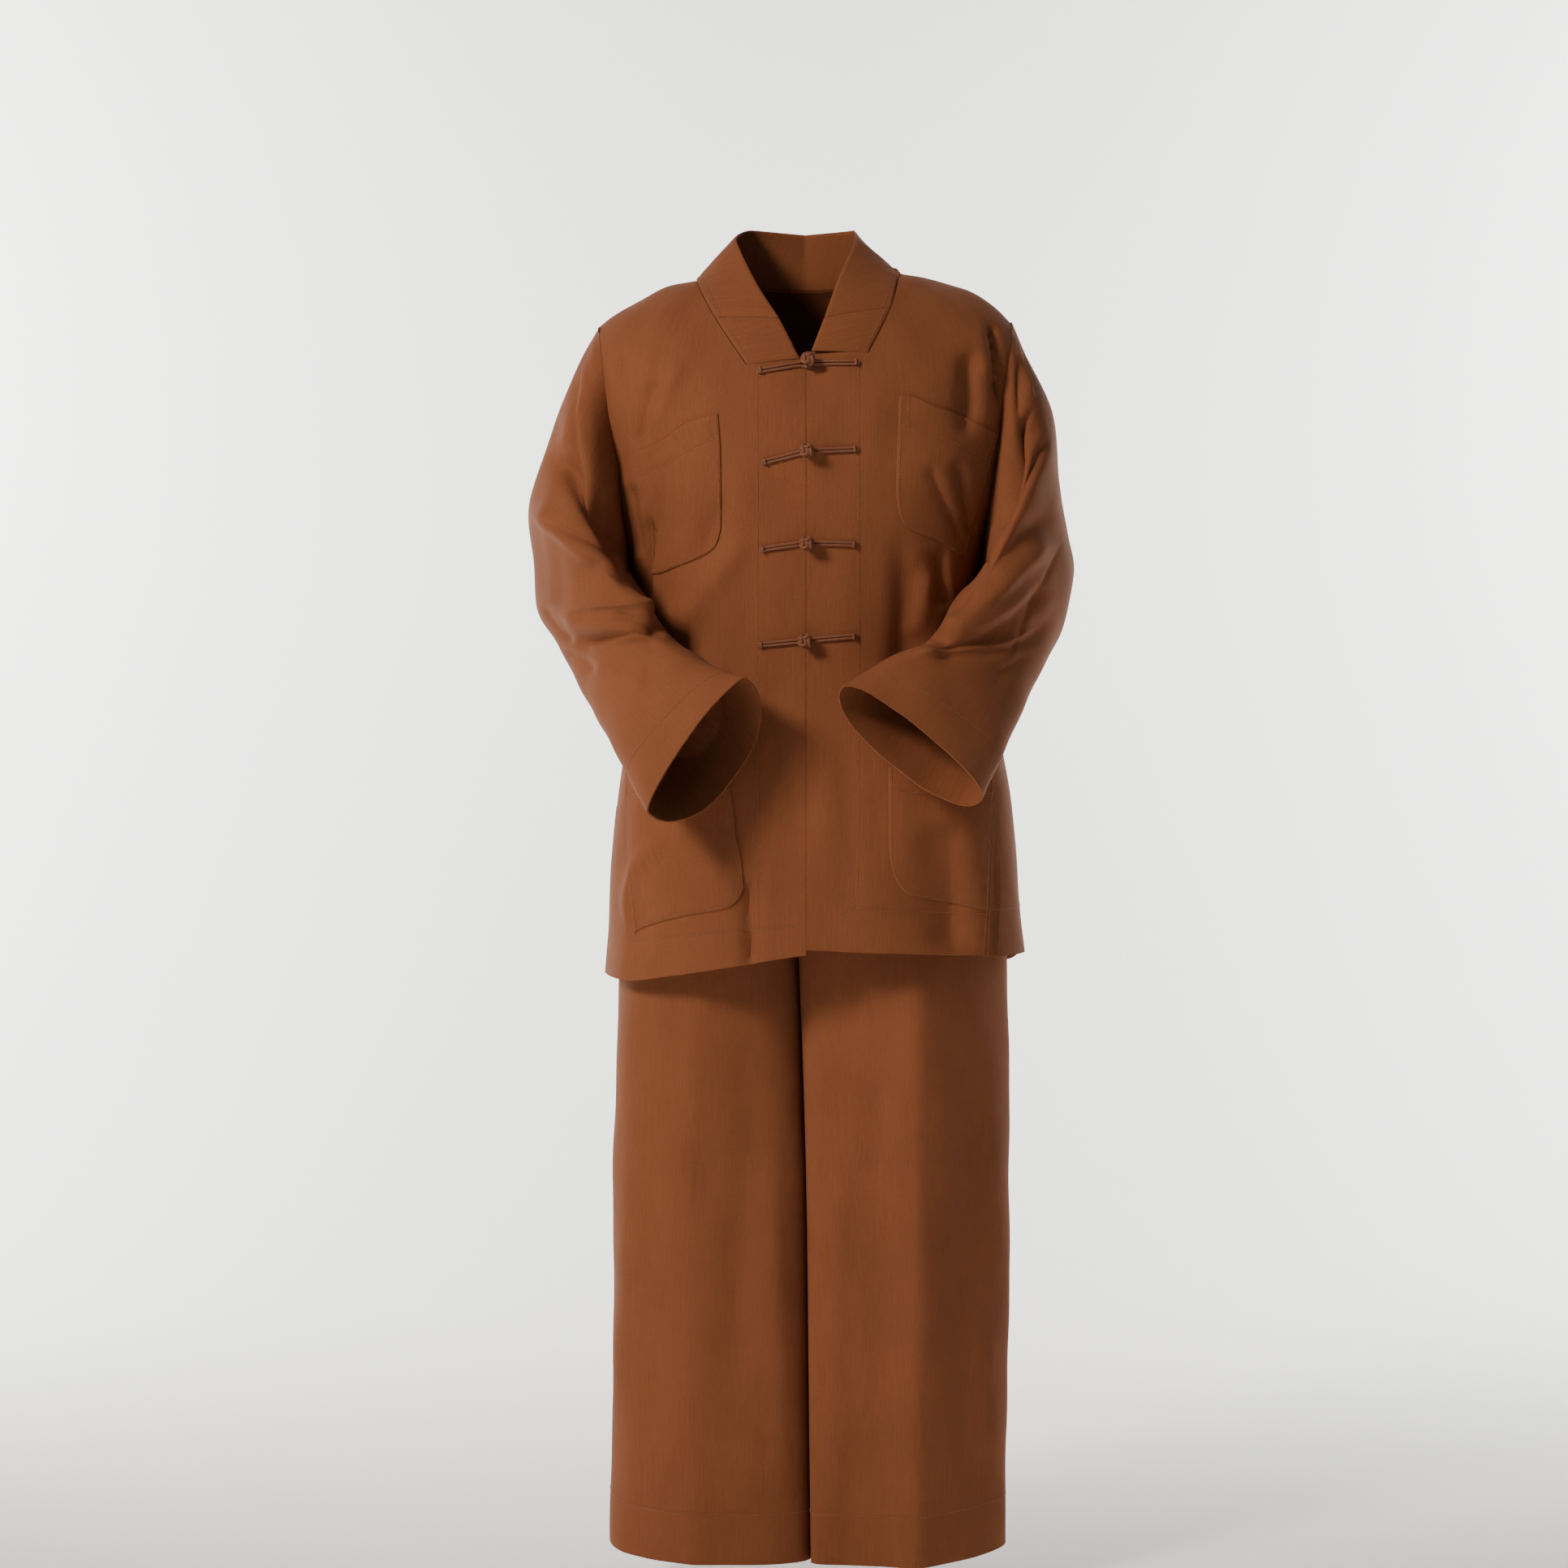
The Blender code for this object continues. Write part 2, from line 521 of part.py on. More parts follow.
def back_panel():
    """Grid of the back, from the left side seam to the right one."""
    halves = []
    for side in ("left", "right"):
        turn, z, shoulder = half_back(side)
        skin, normals = body_panel(side, turn, z, shoulder)
        edge = smoothstep((np.arange(turn.shape[1]) - turn.shape[1] + 5) / 4)
        open_share = smoothstep((VENT_TOP - z) / 0.08) * edge[None, :]
        if side == "right":
            skin = skin + normals * (VENT_FLARE * open_share)[..., None]
        halves.append((skin, normals))
    (left, left_normals), (right, right_normals) = halves
    middle = (left[:, :1] + right[:, :1]) / 2
    middle_normals = left_normals[:, :1] + right_normals[:, :1]
    middle_normals /= np.linalg.norm(middle_normals, axis=-1, keepdims=True)
    skin = np.concatenate([left[:, :0:-1], middle, right[:, 1:]], axis=1)
    normals = np.concatenate([left_normals[:, :0:-1], middle_normals, right_normals[:, 1:]], axis=1)
    return skin + np.array([0.0, SEAM / 2, 0.0]), normals, shoulder


def catmull(keys, at):
    """Smooth curve through key points, at fractions of their index."""
    keys = np.concatenate([2 * keys[:1] - keys[1:2], keys, 2 * keys[-1:] - keys[-2:-1]])
    k = np.minimum(np.floor(at).astype(int), len(keys) - 4)
    t = (at - k).reshape((-1,) + (1,) * (keys.ndim - 1))
    a, b, c, d = (keys[k + i] for i in range(4))
    return 0.5 * (2 * b + (c - a) * t + (2 * a - 5 * b + 4 * c - d) * t ** 2
                  + (3 * b - 3 * c + d - a) * t ** 3)


def armhole_ring(front, back, side, shoulder, back_shoulder):
    """The armhole's edge as a ring: down the front from the shoulder tip, then up the back."""
    before = front[0, shoulder[1]:]
    centre = back.shape[1] // 2
    columns = np.arange(centre + back_shoulder[1], back.shape[1])
    if side == "left":
        columns = 2 * centre - columns
    behind = back[0, columns]

    def halved(edge):
        points = np.repeat(edge, 2, axis=0)[:-1].copy()
        points[1::2] = (edge[:-1] + edge[1:]) / 2
        return points

    down, up = halved(before), halved(behind)[::-1]
    tip = (down[:1] + up[-1:]) / 2
    pit = (down[-1:] + up[:1]) / 2
    return np.concatenate([tip, down[1:-1], pit, up[1:-1]])


def sleeve_panel(side, ring0):
    """Grid of a sleeve: rows from the armhole to the cuff, columns round it."""
    sign = SIDES[side]
    mirror = np.array([sign, 1.0, 1.0])
    front_steps = 2 * ARMHOLE_STEPS
    back_steps = 2 * BACK_ARMHOLE_STEPS
    phi = np.concatenate([np.pi * np.arange(front_steps) / front_steps,
                          np.pi + np.pi * np.arange(back_steps) / back_steps])
    arm = [dict(zip(SLEEVE_COLUMNS, row)) for row in SLEEVES[side]]
    outer = np.array([[row["outer_" + axis] for axis in "xyz"] for row in arm]) * mirror
    inner = np.array([[row["inner_" + axis] for axis in "xyz"] for row in arm]) * mirror
    middle = (outer + inner) / 2
    cuff_ahead = middle[-1] - middle[-3]
    keys = [ring0 + np.array([sign * LIE, 0.0, 0.0])]
    for number, (row, m, o) in enumerate(zip(arm, middle, outer)):
        square = np.cross(cuff_ahead, o - m)
        square /= np.linalg.norm(square) * np.sign(square[1])
        forearm = smoothstep((number - ELBOW_ROW) / (len(middle) - 1 - ELBOW_ROW))
        sideways = np.array([0.0, 1.0, 0.0]) * (1 - forearm) + square * forearm
        sideways /= np.linalg.norm(sideways)
        reach = np.where(phi < np.pi, -row["before"], row["behind"])
        reach = reach * np.abs(np.sin(phi)) ** SLEEVE_ROUND
        lengthwise = power(np.cos(phi), SLEEVE_ROUND)
        keys.append(m + lengthwise[:, None] * (o - m) + reach[:, None] * sideways)
    at = np.linspace(0, len(keys) - 1, SLEEVE_ROWS + 1)
    skin = catmull(np.array(keys), at)
    settled = smoothstep((at - 0.3) / 0.9)[:, None]
    normals = ring_normals(skin)
    lifted = folded("sleeve_" + side, skin, normals, normals)
    skin = skin + (lifted - skin) * settled[..., None]
    skin = keep_off_body(side, skin, CLEAR_OF_BODY * settled)
    normals = ring_normals(skin)
    flat = normals[0] - armhole_plane(side) * (normals[0] @ armhole_plane(side))[:, None]
    normals[0] = flat / np.linalg.norm(flat, axis=-1, keepdims=True)
    return skin, normals


def armhole_plane(side):
    """Unit vector square to the flat armhole."""
    top_x, top_z = armhole(side, 0.0)
    low_x, low_z = armhole(side, 1.0)
    square = np.array([SIDES[side] * (top_z - low_z), 0.0, -(top_x - low_x)])
    return square / np.linalg.norm(square)


def ring_normals(skin):
    """Unit outward normals of a tube given as rows of rings."""
    before = 2 * skin[:1] - skin[1:2]
    after = 2 * skin[-1:] - skin[-2:-1]
    tall = np.concatenate([before, skin, after])
    wide = np.concatenate([tall[:, -1:], tall, tall[:, :1]], axis=1)
    away = skin - skin.mean(axis=1, keepdims=True)
    return grid_normals(wide, away)


def keep_off_body(side, skin, margin):
    """Points that would lie in the jacket's body are moved out level to just clear of it."""
    x, y, z = skin[..., 0], skin[..., 1], skin[..., 2]
    half = read(BODY, BODY_COLUMNS, side, z) + margin
    middle = read(BODY, BODY_COLUMNS, "middle", z)
    front = read(BODY, BODY_COLUMNS, "front", z) * fullness(x, z, FRONT_ROUNDING)
    back = read(BODY, BODY_COLUMNS, "back", z) * fullness(x, z, BACK_ROUNDING)
    depth = np.maximum(np.where(y < middle, front, back) + margin, 0.0001)
    top = tip_height(side)
    plane_x = SHOULDER_TIP + (UNDERARM[0] - SHOULDER_TIP) * (z - top) / (UNDERARM[1] - top)
    beside = (z > UNDERARM[1]) & (np.abs(x) > plane_x)
    size = np.abs(x / half) ** SQUARENESS + np.abs((y - middle) / depth) ** SQUARENESS
    size = size ** (1 / SQUARENESS)
    grow = np.where((size < 1) & ~beside & (margin > 0), 1 / np.maximum(size, 0.3), 1.0)
    level = np.where(beside, np.maximum(np.abs(x), plane_x + margin * 0.6), np.abs(x) * grow)
    return np.stack([np.sign(x) * level, middle + (y - middle) * grow, z], axis=-1)


def leg_point(side, share, z, sheer):
    """Outer cloth of a leg's front or back: share 0 to 1 from its inner to its outer edge."""
    sign = SIDES[side]
    facing = -1 if sheer == "front" else 1
    inner = read(LEG, LEG_COLUMNS, side + "_inner", z)
    outer = read(LEG, LEG_COLUMNS, side + "_outer", z)
    centre, half = (inner + outer) / 2, np.abs(outer - inner) / 2
    angle = np.pi * share
    ahead = np.sin(angle) * facing < 0
    middle = LEG_MIDDLE + (INSEAM_Y[side] - LEG_MIDDLE) * smoothstep(np.cos(angle))
    deep = np.where(ahead, read(LEG, LEG_COLUMNS, "front", z) + middle - LEG_MIDDLE,
                    read(LEG, LEG_COLUMNS, "back", z) - middle + LEG_MIDDLE)
    bend = np.where(ahead & (np.cos(angle) < 0), FRONT_OUTER_SQUARENESS[side], LEG_SQUARENESS)
    leg_x = centre - sign * half * power(np.cos(angle), 2 / bend)
    leg_y = middle + facing * deep * power(np.sin(angle), 2 / bend)
    crease = next(row for row in LEG_CREASE if row[0] == side)
    sharp = crease[2] * np.exp(-np.abs((leg_x - crease[1]) / crease[3]) ** 1.3)
    below = smoothstep((-0.74 - z) / 0.08)
    leg_y = leg_y + facing * sharp * below * smoothstep(np.sin(angle) / 0.5)
    hip = read(HIP, HIP_COLUMNS, side, z)
    hip_angle = np.pi / 2 * share
    hip_deep = np.where(np.cos(hip_angle) * facing < 0, read(HIP, HIP_COLUMNS, "front", z),
                        read(HIP, HIP_COLUMNS, "back", z))
    hip_x = sign * hip * power(np.sin(hip_angle), 2 / LEG_SQUARENESS)
    hip_y = LEG_MIDDLE + facing * hip_deep * power(np.cos(hip_angle), 2 / LEG_SQUARENESS)
    parted = smoothstep((CROTCH[0] - z) / (CROTCH[0] - CROTCH[1]))
    return np.stack([hip_x + (leg_x - hip_x) * parted, hip_y + (leg_y - hip_y) * parted,
                     np.broadcast_to(z, leg_x.shape)], axis=-1)


def leg_panel(side, sheer):
    """Grid of a leg panel, from its inner edge to its outer edge, waist to hem."""
    share = (1 - np.cos(np.pi * np.arange(LEG_COLUMNS_COUNT + 1) / LEG_COLUMNS_COUNT)) / 2
    share = 0.5 * share + 0.5 * np.linspace(0, 1, LEG_COLUMNS_COUNT + 1)
    column = 0 if side == "left" else 1
    inner, outer = TROUSER_HEM_INNER[column], TROUSER_HEM_OUTER[column]
    dip = TROUSER_HEM_FRONT[column] - (inner + outer) / 2
    hem = inner + (outer - inner) * share + dip * np.sin(np.pi * share)
    top = np.full_like(hem, WAISTBAND[0] - SEAM)
    z = top[None, :] + (hem - top)[None, :] * (np.arange(LEG_ROWS + 1) / LEG_ROWS)[:, None]
    share = np.broadcast_to(share[None, :], z.shape)
    wide = leg_point(side, spread(share, 1), spread(z, 1), sheer)
    centre = wide[1:-1, 1:-1].mean(axis=1, keepdims=True) * np.array([1.0, 0.0, 1.0])
    normals = grid_normals(wide, wide[1:-1, 1:-1] - centre)
    facing = -1 if sheer == "front" else 1
    return wide[1:-1, 1:-1] + np.array([SIDES[side] * SEAM / 2, facing * SEAM / 2, 0.0]), normals


def material(name):
    """Principled cloth material of a piece, coloured by the kind of piece."""
    kind = next(key for key in COLOURS if name.startswith(key))
    cloth = bpy.data.materials.new(name + "_cloth")
    cloth.use_nodes = True
    shader = cloth.node_tree.nodes["Principled BSDF"]
    shader.inputs["Base Color"].default_value = (*COLOURS[kind], 1.0)
    shader.inputs["Roughness"].default_value = ROUGHNESS
    shader.inputs["Metallic"].default_value = 0.0
    cloth.diffuse_color = (*COLOURS[kind], 1.0)
    return cloth


def finish(name, mesh_data):
    """A bmesh made into a named object with outward faces and its own material."""
    bmesh.ops.recalc_face_normals(mesh_data, faces=mesh_data.faces)
    if mesh_data.calc_volume(signed=True) < 0:
        bmesh.ops.reverse_faces(mesh_data, faces=mesh_data.faces)
    mesh = bpy.data.meshes.new(name)
    mesh_data.to_mesh(mesh)
    mesh_data.free()
    mesh.materials.append(material(name))
    piece = bpy.data.objects.new(name, mesh)
    bpy.context.scene.collection.objects.link(piece)
    return piece


def skin_faces(rows, columns, closed):
    """Triangles of a grid, numbered by row and column."""
    faces = []
    last = columns if closed else columns - 1
    for i in range(rows - 1):
        for j in range(last):
            a, b = i * columns + j, i * columns + (j + 1) % columns
            c, d = b + columns, a + columns
            faces.extend([(a, b, c), (a, c, d)])
    return faces


def wall(name, skin, normals, thickness, closed=False):
    """A closed wall of cloth: its outer skin, an inner skin, and rims along its edges."""
    rows, columns = skin.shape[:2]
    outer = skin.reshape(-1, 3)
    inner = (skin - normals * thickness).reshape(-1, 3)
    bm = bmesh.new()
    verts = [bm.verts.new(p) for p in np.concatenate([outer, inner])]
    count = rows * columns
    for a, b, c in skin_faces(rows, columns, closed):
        bm.faces.new((verts[a], verts[b], verts[c]))
        bm.faces.new((verts[c + count], verts[b + count], verts[a + count]))
    edges = [(j, (j + 1) % columns) for j in range(columns if closed else columns - 1)]
    edges += [(a + (rows - 1) * columns, b + (rows - 1) * columns) for a, b in edges]
    if not closed:
        edges += [(i * columns + j, (i + 1) * columns + j)
                  for i in range(rows - 1) for j in (0, columns - 1)]
    for a, b in edges:
        bm.faces.new((verts[a], verts[b], verts[b + count]))
        bm.faces.new((verts[a], verts[b + count], verts[a + count]))
    return finish(name, bm)


def skin_tree(skin):
    """Search tree over a panel's outer skin."""
    rows, columns = skin.shape[:2]
    return BVHTree.FromPolygons([Vector(p) for p in skin.reshape(-1, 3)], skin_faces(rows, columns, False))


def on_skin(tree, x, z):
    """Point and outward normal of the front at (x, z), seen from before it."""
    point, normal, _index, _distance = tree.ray_cast(Vector((x, -1.0, z)), Vector((0.0, 1.0, 0.0)))
    if normal.y > 0:
        normal = -normal
    return np.array(point), np.array(normal)


def patch(name, skin, corners):
    """A patch pocket: the front's own skin cut to the pocket's outline and moved out."""
    rows, columns = skin.shape[:2]
    bm = bmesh.new()
    verts = [bm.verts.new(p) for p in skin.reshape(-1, 3)]
    for a, b, c in skin_faces(rows, columns, False):
        bm.faces.new((verts[a], verts[b], verts[c]))
    centre = np.mean(corners, axis=0)
    for (x0, z0), (x1, z1) in zip(corners, corners[1:] + corners[:1]):
        square = Vector((z1 - z0, 0.0, x0 - x1)).normalized()
        if (centre[0] - x0) * square.x + (centre[1] - z0) * square.z > 0:
            square = -square
        geometry = bm.verts[:] + bm.edges[:] + bm.faces[:]
        bmesh.ops.bisect_plane(bm, geom=geometry, dist=1e-6, plane_co=Vector((x0, 0.0, z0)),
                               plane_no=square, clear_outer=True)
    bmesh.ops.remove_doubles(bm, verts=bm.verts, dist=0.0008)
    bmesh.ops.triangulate(bm, faces=bm.faces)
    bmesh.ops.recalc_face_normals(bm, faces=bm.faces)
    if sum(face.normal.y for face in bm.faces) > 0:
        bmesh.ops.reverse_faces(bm, faces=bm.faces)
    bm.normal_update()
    rise = {vert: vert.normal.copy() for vert in bm.verts}
    bm.verts.index_update()
    near = [(vert.co + rise[vert] * LIE) for vert in bm.verts]
    far = [(vert.co + rise[vert] * (LIE + POCKET_CLOTH)) for vert in bm.verts]
    triangles = [[vert.index for vert in face.verts] for face in bm.faces]
    rim = [[vert.index for vert in edge.verts] for edge in bm.edges if edge.is_boundary]
    bm.free()
    solid = bmesh.new()
    low = [solid.verts.new(p) for p in near]
    high = [solid.verts.new(p) for p in far]
    for a, b, c in triangles:
        solid.faces.new((high[a], high[b], high[c]))
        solid.faces.new((low[c], low[b], low[a]))
    for a, b in rim:
        solid.faces.new((low[a], low[b], high[b], high[a]))
    return finish(name, solid)


def collar_grid(fronts, back, shoulder, back_shoulder):
    """Grid of the whole collar: rows from its seam to its neck edge, columns end to end."""
    sides = {}
    centre = back[0].shape[1] // 2
    for side, (front, front_normals) in fronts.items():
        first = shoulder[0] - NECK_STEPS
        columns = centre + SIDES[side] * np.arange(back_shoulder[0] - 1, -1, -1)
        seam = np.concatenate([front[0, first:shoulder[0] + 1], back[0][0, columns]])
        rim = np.concatenate([front_normals[0, first:shoulder[0] + 1], back[1][0, columns]])
        step = np.arange(len(seam))
        edge = np.stack([SIDES[side] * read(COLLAR[side], COLLAR_COLUMNS, "x", step),
                         read(COLLAR[side], COLLAR_COLUMNS, "y", step),
                         read(COLLAR[side], COLLAR_COLUMNS, "z", step)], axis=-1)
        sides[side] = (seam, edge, rim)
    seam, edge, rim = (np.concatenate([sides["left"][k], sides["right"][k][-2::-1]]) for k in range(3))
    reach = edge - seam
    reach /= np.linalg.norm(reach, axis=-1, keepdims=True)
    run = np.gradient(seam, axis=0)
    run /= np.linalg.norm(run, axis=-1, keepdims=True)
    out = np.cross(run, reach)
    out /= np.linalg.norm(out, axis=-1, keepdims=True)
    out = np.where(np.sum(out * (seam * np.array([1.0, 1.0, 0.0])), axis=-1, keepdims=True) > 0, out, -out)
    toward = np.cross(run, rim)
    toward *= np.sign(np.sum(toward * reach, axis=-1, keepdims=True))
    toward /= np.linalg.norm(toward, axis=-1, keepdims=True)
    seam = seam + toward * SEAM * 2 + rim * COLLAR_RISE
    share = np.linspace(0, 1, COLLAR_BANDS + 1)[:, None, None]
    grid = seam[None] + (edge - seam)[None] * share + out[None] * COLLAR_BULGE * np.sin(np.pi * share)
    normals = np.broadcast_to(out[None], grid.shape).copy()
    normals[0] = rim
    return grid, normals


def make_collar(fronts, back, shoulder, back_shoulder):
    """The collar's band and its two end pieces, set against the neckline."""
    grid, normals = collar_grid(fronts, back, shoulder, back_shoulder)
    count = grid.shape[1]
    lift = np.array([0.0, 0.0, SEAM])
    last_cut = count - 1 - COLLAR_END_STEPS
    cuts = (("collar_end_left", 0, COLLAR_END_STEPS), ("collar_band", COLLAR_END_STEPS, last_cut),
            ("collar_end_right", last_cut, count - 1))
    for name, first, last in cuts:
        piece = grid[:, first:last + 1].copy()
        for edge, inward in ((0, 1), (-1, -2)):
            toward = piece[:, inward] - piece[:, edge]
            toward /= np.linalg.norm(toward, axis=-1, keepdims=True)
            piece[:, edge] += toward * SEAM / 2
        if name != "collar_band":
            outer_end = 0 if name.endswith("left") else -1
            piece[:, outer_end] += lift
        wall(name, piece, normals[:, first:last + 1], COLLAR_CLOTH)


def tube(name, path, radius, sides):
    """A closed round cord along a path of points."""
    path = np.array(path)
    tangent = np.gradient(path, axis=0)
    tangent /= np.linalg.norm(tangent, axis=-1, keepdims=True)
    up = np.array([0.0, -1.0, 0.0])
    rings = []
    for point, ahead in zip(path, tangent):
        across = np.cross(ahead, up)
        across /= np.linalg.norm(across)
        over = np.cross(across, ahead)
        angles = 2 * np.pi * (np.arange(sides) + 0.5) / sides
        rings.append(point + radius * (np.cos(angles)[:, None] * across + np.sin(angles)[:, None] * over))
    return loft(name, rings)


def loft(name, rings):
    """A closed solid through rings of equal point counts, capped at both ends."""
    bm = bmesh.new()
    rows = [[bm.verts.new(p) for p in ring] for ring in rings]
    sides = len(rows[0])
    for low, high in zip(rows, rows[1:]):
        for j in range(sides):
            k = (j + 1) % sides
            bm.faces.new((low[j], low[k], high[k], high[j]))
    bm.faces.new(rows[0])
    bm.faces.new(rows[-1])
    bmesh.ops.triangulate(bm, faces=bm.faces)
    return finish(name, bm)


def make_frog(number, row, trees):
    """A frog: a doubled cord with a loop on the left, and one with a knotted ball on the right."""
    frog = dict(zip(FROG_COLUMNS, row))
    pitch = CORD_RADIUS + CORD_GAP / 2
    knot = np.array([frog["knot_x"], 0.0, frog["knot_z"]])
    left_end = np.array([frog["left_x"], 0.0, frog["left_z"]])
    right_end = np.array([frog["right_x"], 0.0, frog["right_z"]])

    def seat(x, z, height):
        side = "left" if x < 0 else "right"
        within = SIDES[side] * max(abs(x), 2 * SEAM)
        point, normal = on_skin(trees[side], within, z)
        return point + normal * height + np.array([x - within, 0.0, 0.0])

    lie = LIE + CORD_RADIUS
    run = (knot - left_end) / np.linalg.norm(knot - left_end)
    square = np.array([-run[2], 0.0, run[0]])
    near = LOOP_RADIUS * math.cos(math.asin(min(1.0, pitch / LOOP_RADIUS)))
    reach = np.linalg.norm(knot - left_end) - near - LOOP_START
    flat = []
    for i in range(STRIP_STEPS + 1):
        flat.append(left_end + run * reach * i / STRIP_STEPS + square * pitch)
    for i in range(LOOP_STEPS + 1):
        angle = math.pi - LOOP_MOUTH - (2 * math.pi - 2 * LOOP_MOUTH) * i / LOOP_STEPS
        flat.append(knot + LOOP_RADIUS * (run * math.cos(angle) + square * math.sin(angle)))
    for i in range(STRIP_STEPS, -1, -1):
        flat.append(left_end + run * reach * i / STRIP_STEPS - square * pitch)
    path = []
    for point in flat:
        ahead = float((point - knot) @ run)
        rise = (2 * CORD_RADIUS + 3 * LIE) * float(smoothstep((ahead + LOOP_RADIUS) / LOOP_RISE_RUN))
        path.append(seat(point[0], point[2], lie + rise))
    tube(f"frog_{number}_loop", path, CORD_RADIUS, CORD_SIDES)

    run = (knot - right_end) / np.linalg.norm(knot - right_end)
    square = np.array([-run[2], 0.0, run[0]])
    width = 2 * CORD_RADIUS + CORD_GAP / 2
    length = np.linalg.norm(knot - right_end)
    rings = []
    for station in (*np.linspace(0, length - STRIP_END, STRIP_STEPS + 1), length - NECK_INSET):
        middle = right_end + run * station
        narrow = 1.0 - STRIP_NARROWING * smoothstep((station - length) / (3 * STRIP_END) + 1)
        ring = []
        for across, over in STRIP_PROFILE:
            spot = middle + square * width * narrow * across
            ring.append(seat(spot[0], spot[2], lie + CORD_RADIUS * over))
        rings.append(np.array(ring))
    base, normal = on_skin(trees["right"], 2 * SEAM, knot[2])
    base[0] = knot[0]
    centre = base + normal * KNOT_LIFT
    angles = [math.atan2(over * 0.6, across) for across, over in STRIP_PROFILE]

    def disc(height, radius):
        ring = []
        for angle in angles:
            ring.append(centre + normal * height
                        + radius * (square * math.cos(angle) - run * math.sin(angle)))
        return np.array(ring)

    foot = LIE + 2 * CORD_RADIUS - KNOT_LIFT
    rings[-1] = (rings[-1] + disc(foot, KNOT_NECK)) / 2
    rings.append(disc(foot + NECK_FOOT, KNOT_NECK))
    rings.append(disc(-KNOT_DEPTH - LIE, KNOT_NECK))
    for degrees in KNOT_LATITUDES:
        angle = math.radians(degrees)
        rings.append(disc(KNOT_DEPTH * math.sin(angle), KNOT_RADIUS * math.cos(angle)))
    rings.append(disc(KNOT_DEPTH, KNOT_RADIUS * KNOT_TIP))
    loft(f"frog_{number}_knot", rings)


def make_waistband():
    """The trousers' plain waistband, a closed ring of cloth."""
    share = np.arange(WAISTBAND_COLUMNS) / WAISTBAND_COLUMNS * 2 * np.pi
    rows = []
    for z in np.linspace(WAISTBAND[1], WAISTBAND[0], 3):
        side_half = np.where(np.sin(share) > 0, read(HIP, HIP_COLUMNS, "right", WAISTBAND[0]),
                             read(HIP, HIP_COLUMNS, "left", WAISTBAND[0]))
        deep = np.where(np.cos(share) > 0, read(HIP, HIP_COLUMNS, "back", WAISTBAND[0]),
                        read(HIP, HIP_COLUMNS, "front", WAISTBAND[0]))
        x = side_half * power(np.sin(share), 2 / LEG_SQUARENESS)
        y = LEG_MIDDLE + deep * power(np.cos(share), 2 / LEG_SQUARENESS)
        rows.append(np.stack([x, y, np.full_like(x, z)], axis=-1))
    skin = np.array(rows)
    wall("waistband", skin, ring_normals(skin), COLLAR_CLOTH, closed=True)


def main():
    for item in list(bpy.data.objects):
        bpy.data.objects.remove(item, do_unlink=True)
    fronts, trees = {}, {}
    for side in SIDES:
        skin, normals, shoulder = front_panel(side)
        fronts[side] = (skin, normals)
        trees[side] = skin_tree(skin)
        wall("front_" + side, skin, normals, JACKET_CLOTH)
    *back, back_shoulder = back_panel()
    wall("back", *back, JACKET_CLOTH)
    for side in SIDES:
        ring0 = armhole_ring(fronts[side][0], back[0], side, shoulder, back_shoulder)
        skin, normals = sleeve_panel(side, ring0)
        wall("sleeve_" + side, skin, normals, JACKET_CLOTH, closed=True)
    make_collar(fronts, back, shoulder, back_shoulder)
    for name, (front, corners) in POCKETS.items():
        patch(name, fronts[front.removeprefix("front_")][0], corners)
    for number, row in enumerate(FROGS, start=1):
        make_frog(number, row, trees)
    for side in SIDES:
        for sheer in ("front", "back"):
            skin, normals = leg_panel(side, sheer)
            wall(f"leg_{sheer}_{side}", skin, normals, TROUSER_CLOTH)
    make_waistband()


main()
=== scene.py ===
"""Two-piece monk's suit: sewn cloth, stitching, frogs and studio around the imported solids.

Metres, +Z up. The front faces -Y, and left and right are the viewer's.
"""

import functools
import math

import bmesh
import bpy
import numpy as np
from bpy.props import FloatProperty, FloatVectorProperty, IntProperty, PointerProperty
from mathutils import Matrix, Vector
from mathutils.bvhtree import BVHTree


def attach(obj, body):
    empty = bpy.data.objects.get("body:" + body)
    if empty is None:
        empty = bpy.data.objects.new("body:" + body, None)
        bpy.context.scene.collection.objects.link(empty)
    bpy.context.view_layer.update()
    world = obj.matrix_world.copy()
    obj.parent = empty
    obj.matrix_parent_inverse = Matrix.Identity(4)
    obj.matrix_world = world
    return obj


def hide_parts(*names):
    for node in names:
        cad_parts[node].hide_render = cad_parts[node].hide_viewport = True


bl_info = {
    "name": "Monk's Suit",
    "version": (1, 0, 0),
    "blender": (4, 5, 0),
    "location": "View3D > Sidebar > Suit",
    "description": "Sewn cloth, stitching and frogs around the solids of a monk's suit",
    "category": "Object",
}

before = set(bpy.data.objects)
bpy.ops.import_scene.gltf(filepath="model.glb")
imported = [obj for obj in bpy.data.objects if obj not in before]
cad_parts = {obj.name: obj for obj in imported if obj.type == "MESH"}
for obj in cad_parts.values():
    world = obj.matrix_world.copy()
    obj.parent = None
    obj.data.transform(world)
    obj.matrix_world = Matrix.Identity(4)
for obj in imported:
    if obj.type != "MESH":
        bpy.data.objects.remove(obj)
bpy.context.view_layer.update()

# Where the suit is seen from: sight lines place what the front shows
CAMERA_AT = (-0.024, -4.2, -0.334)
CAMERA_AIM = (-0.024, 0.0, -0.576)
CAMERA_LENS = 85.0
CAMERA_SENSOR = 36.0
FLOOR_Z = -1.505

# Cloth and seams
JACKET_CLOTH = 0.0018
TROUSER_CLOTH = 0.0016
POCKET_CLOTH = 0.0012
COLLAR_CLOTH = 0.0030
SEAM = 0.0004
LIE = 0.0003

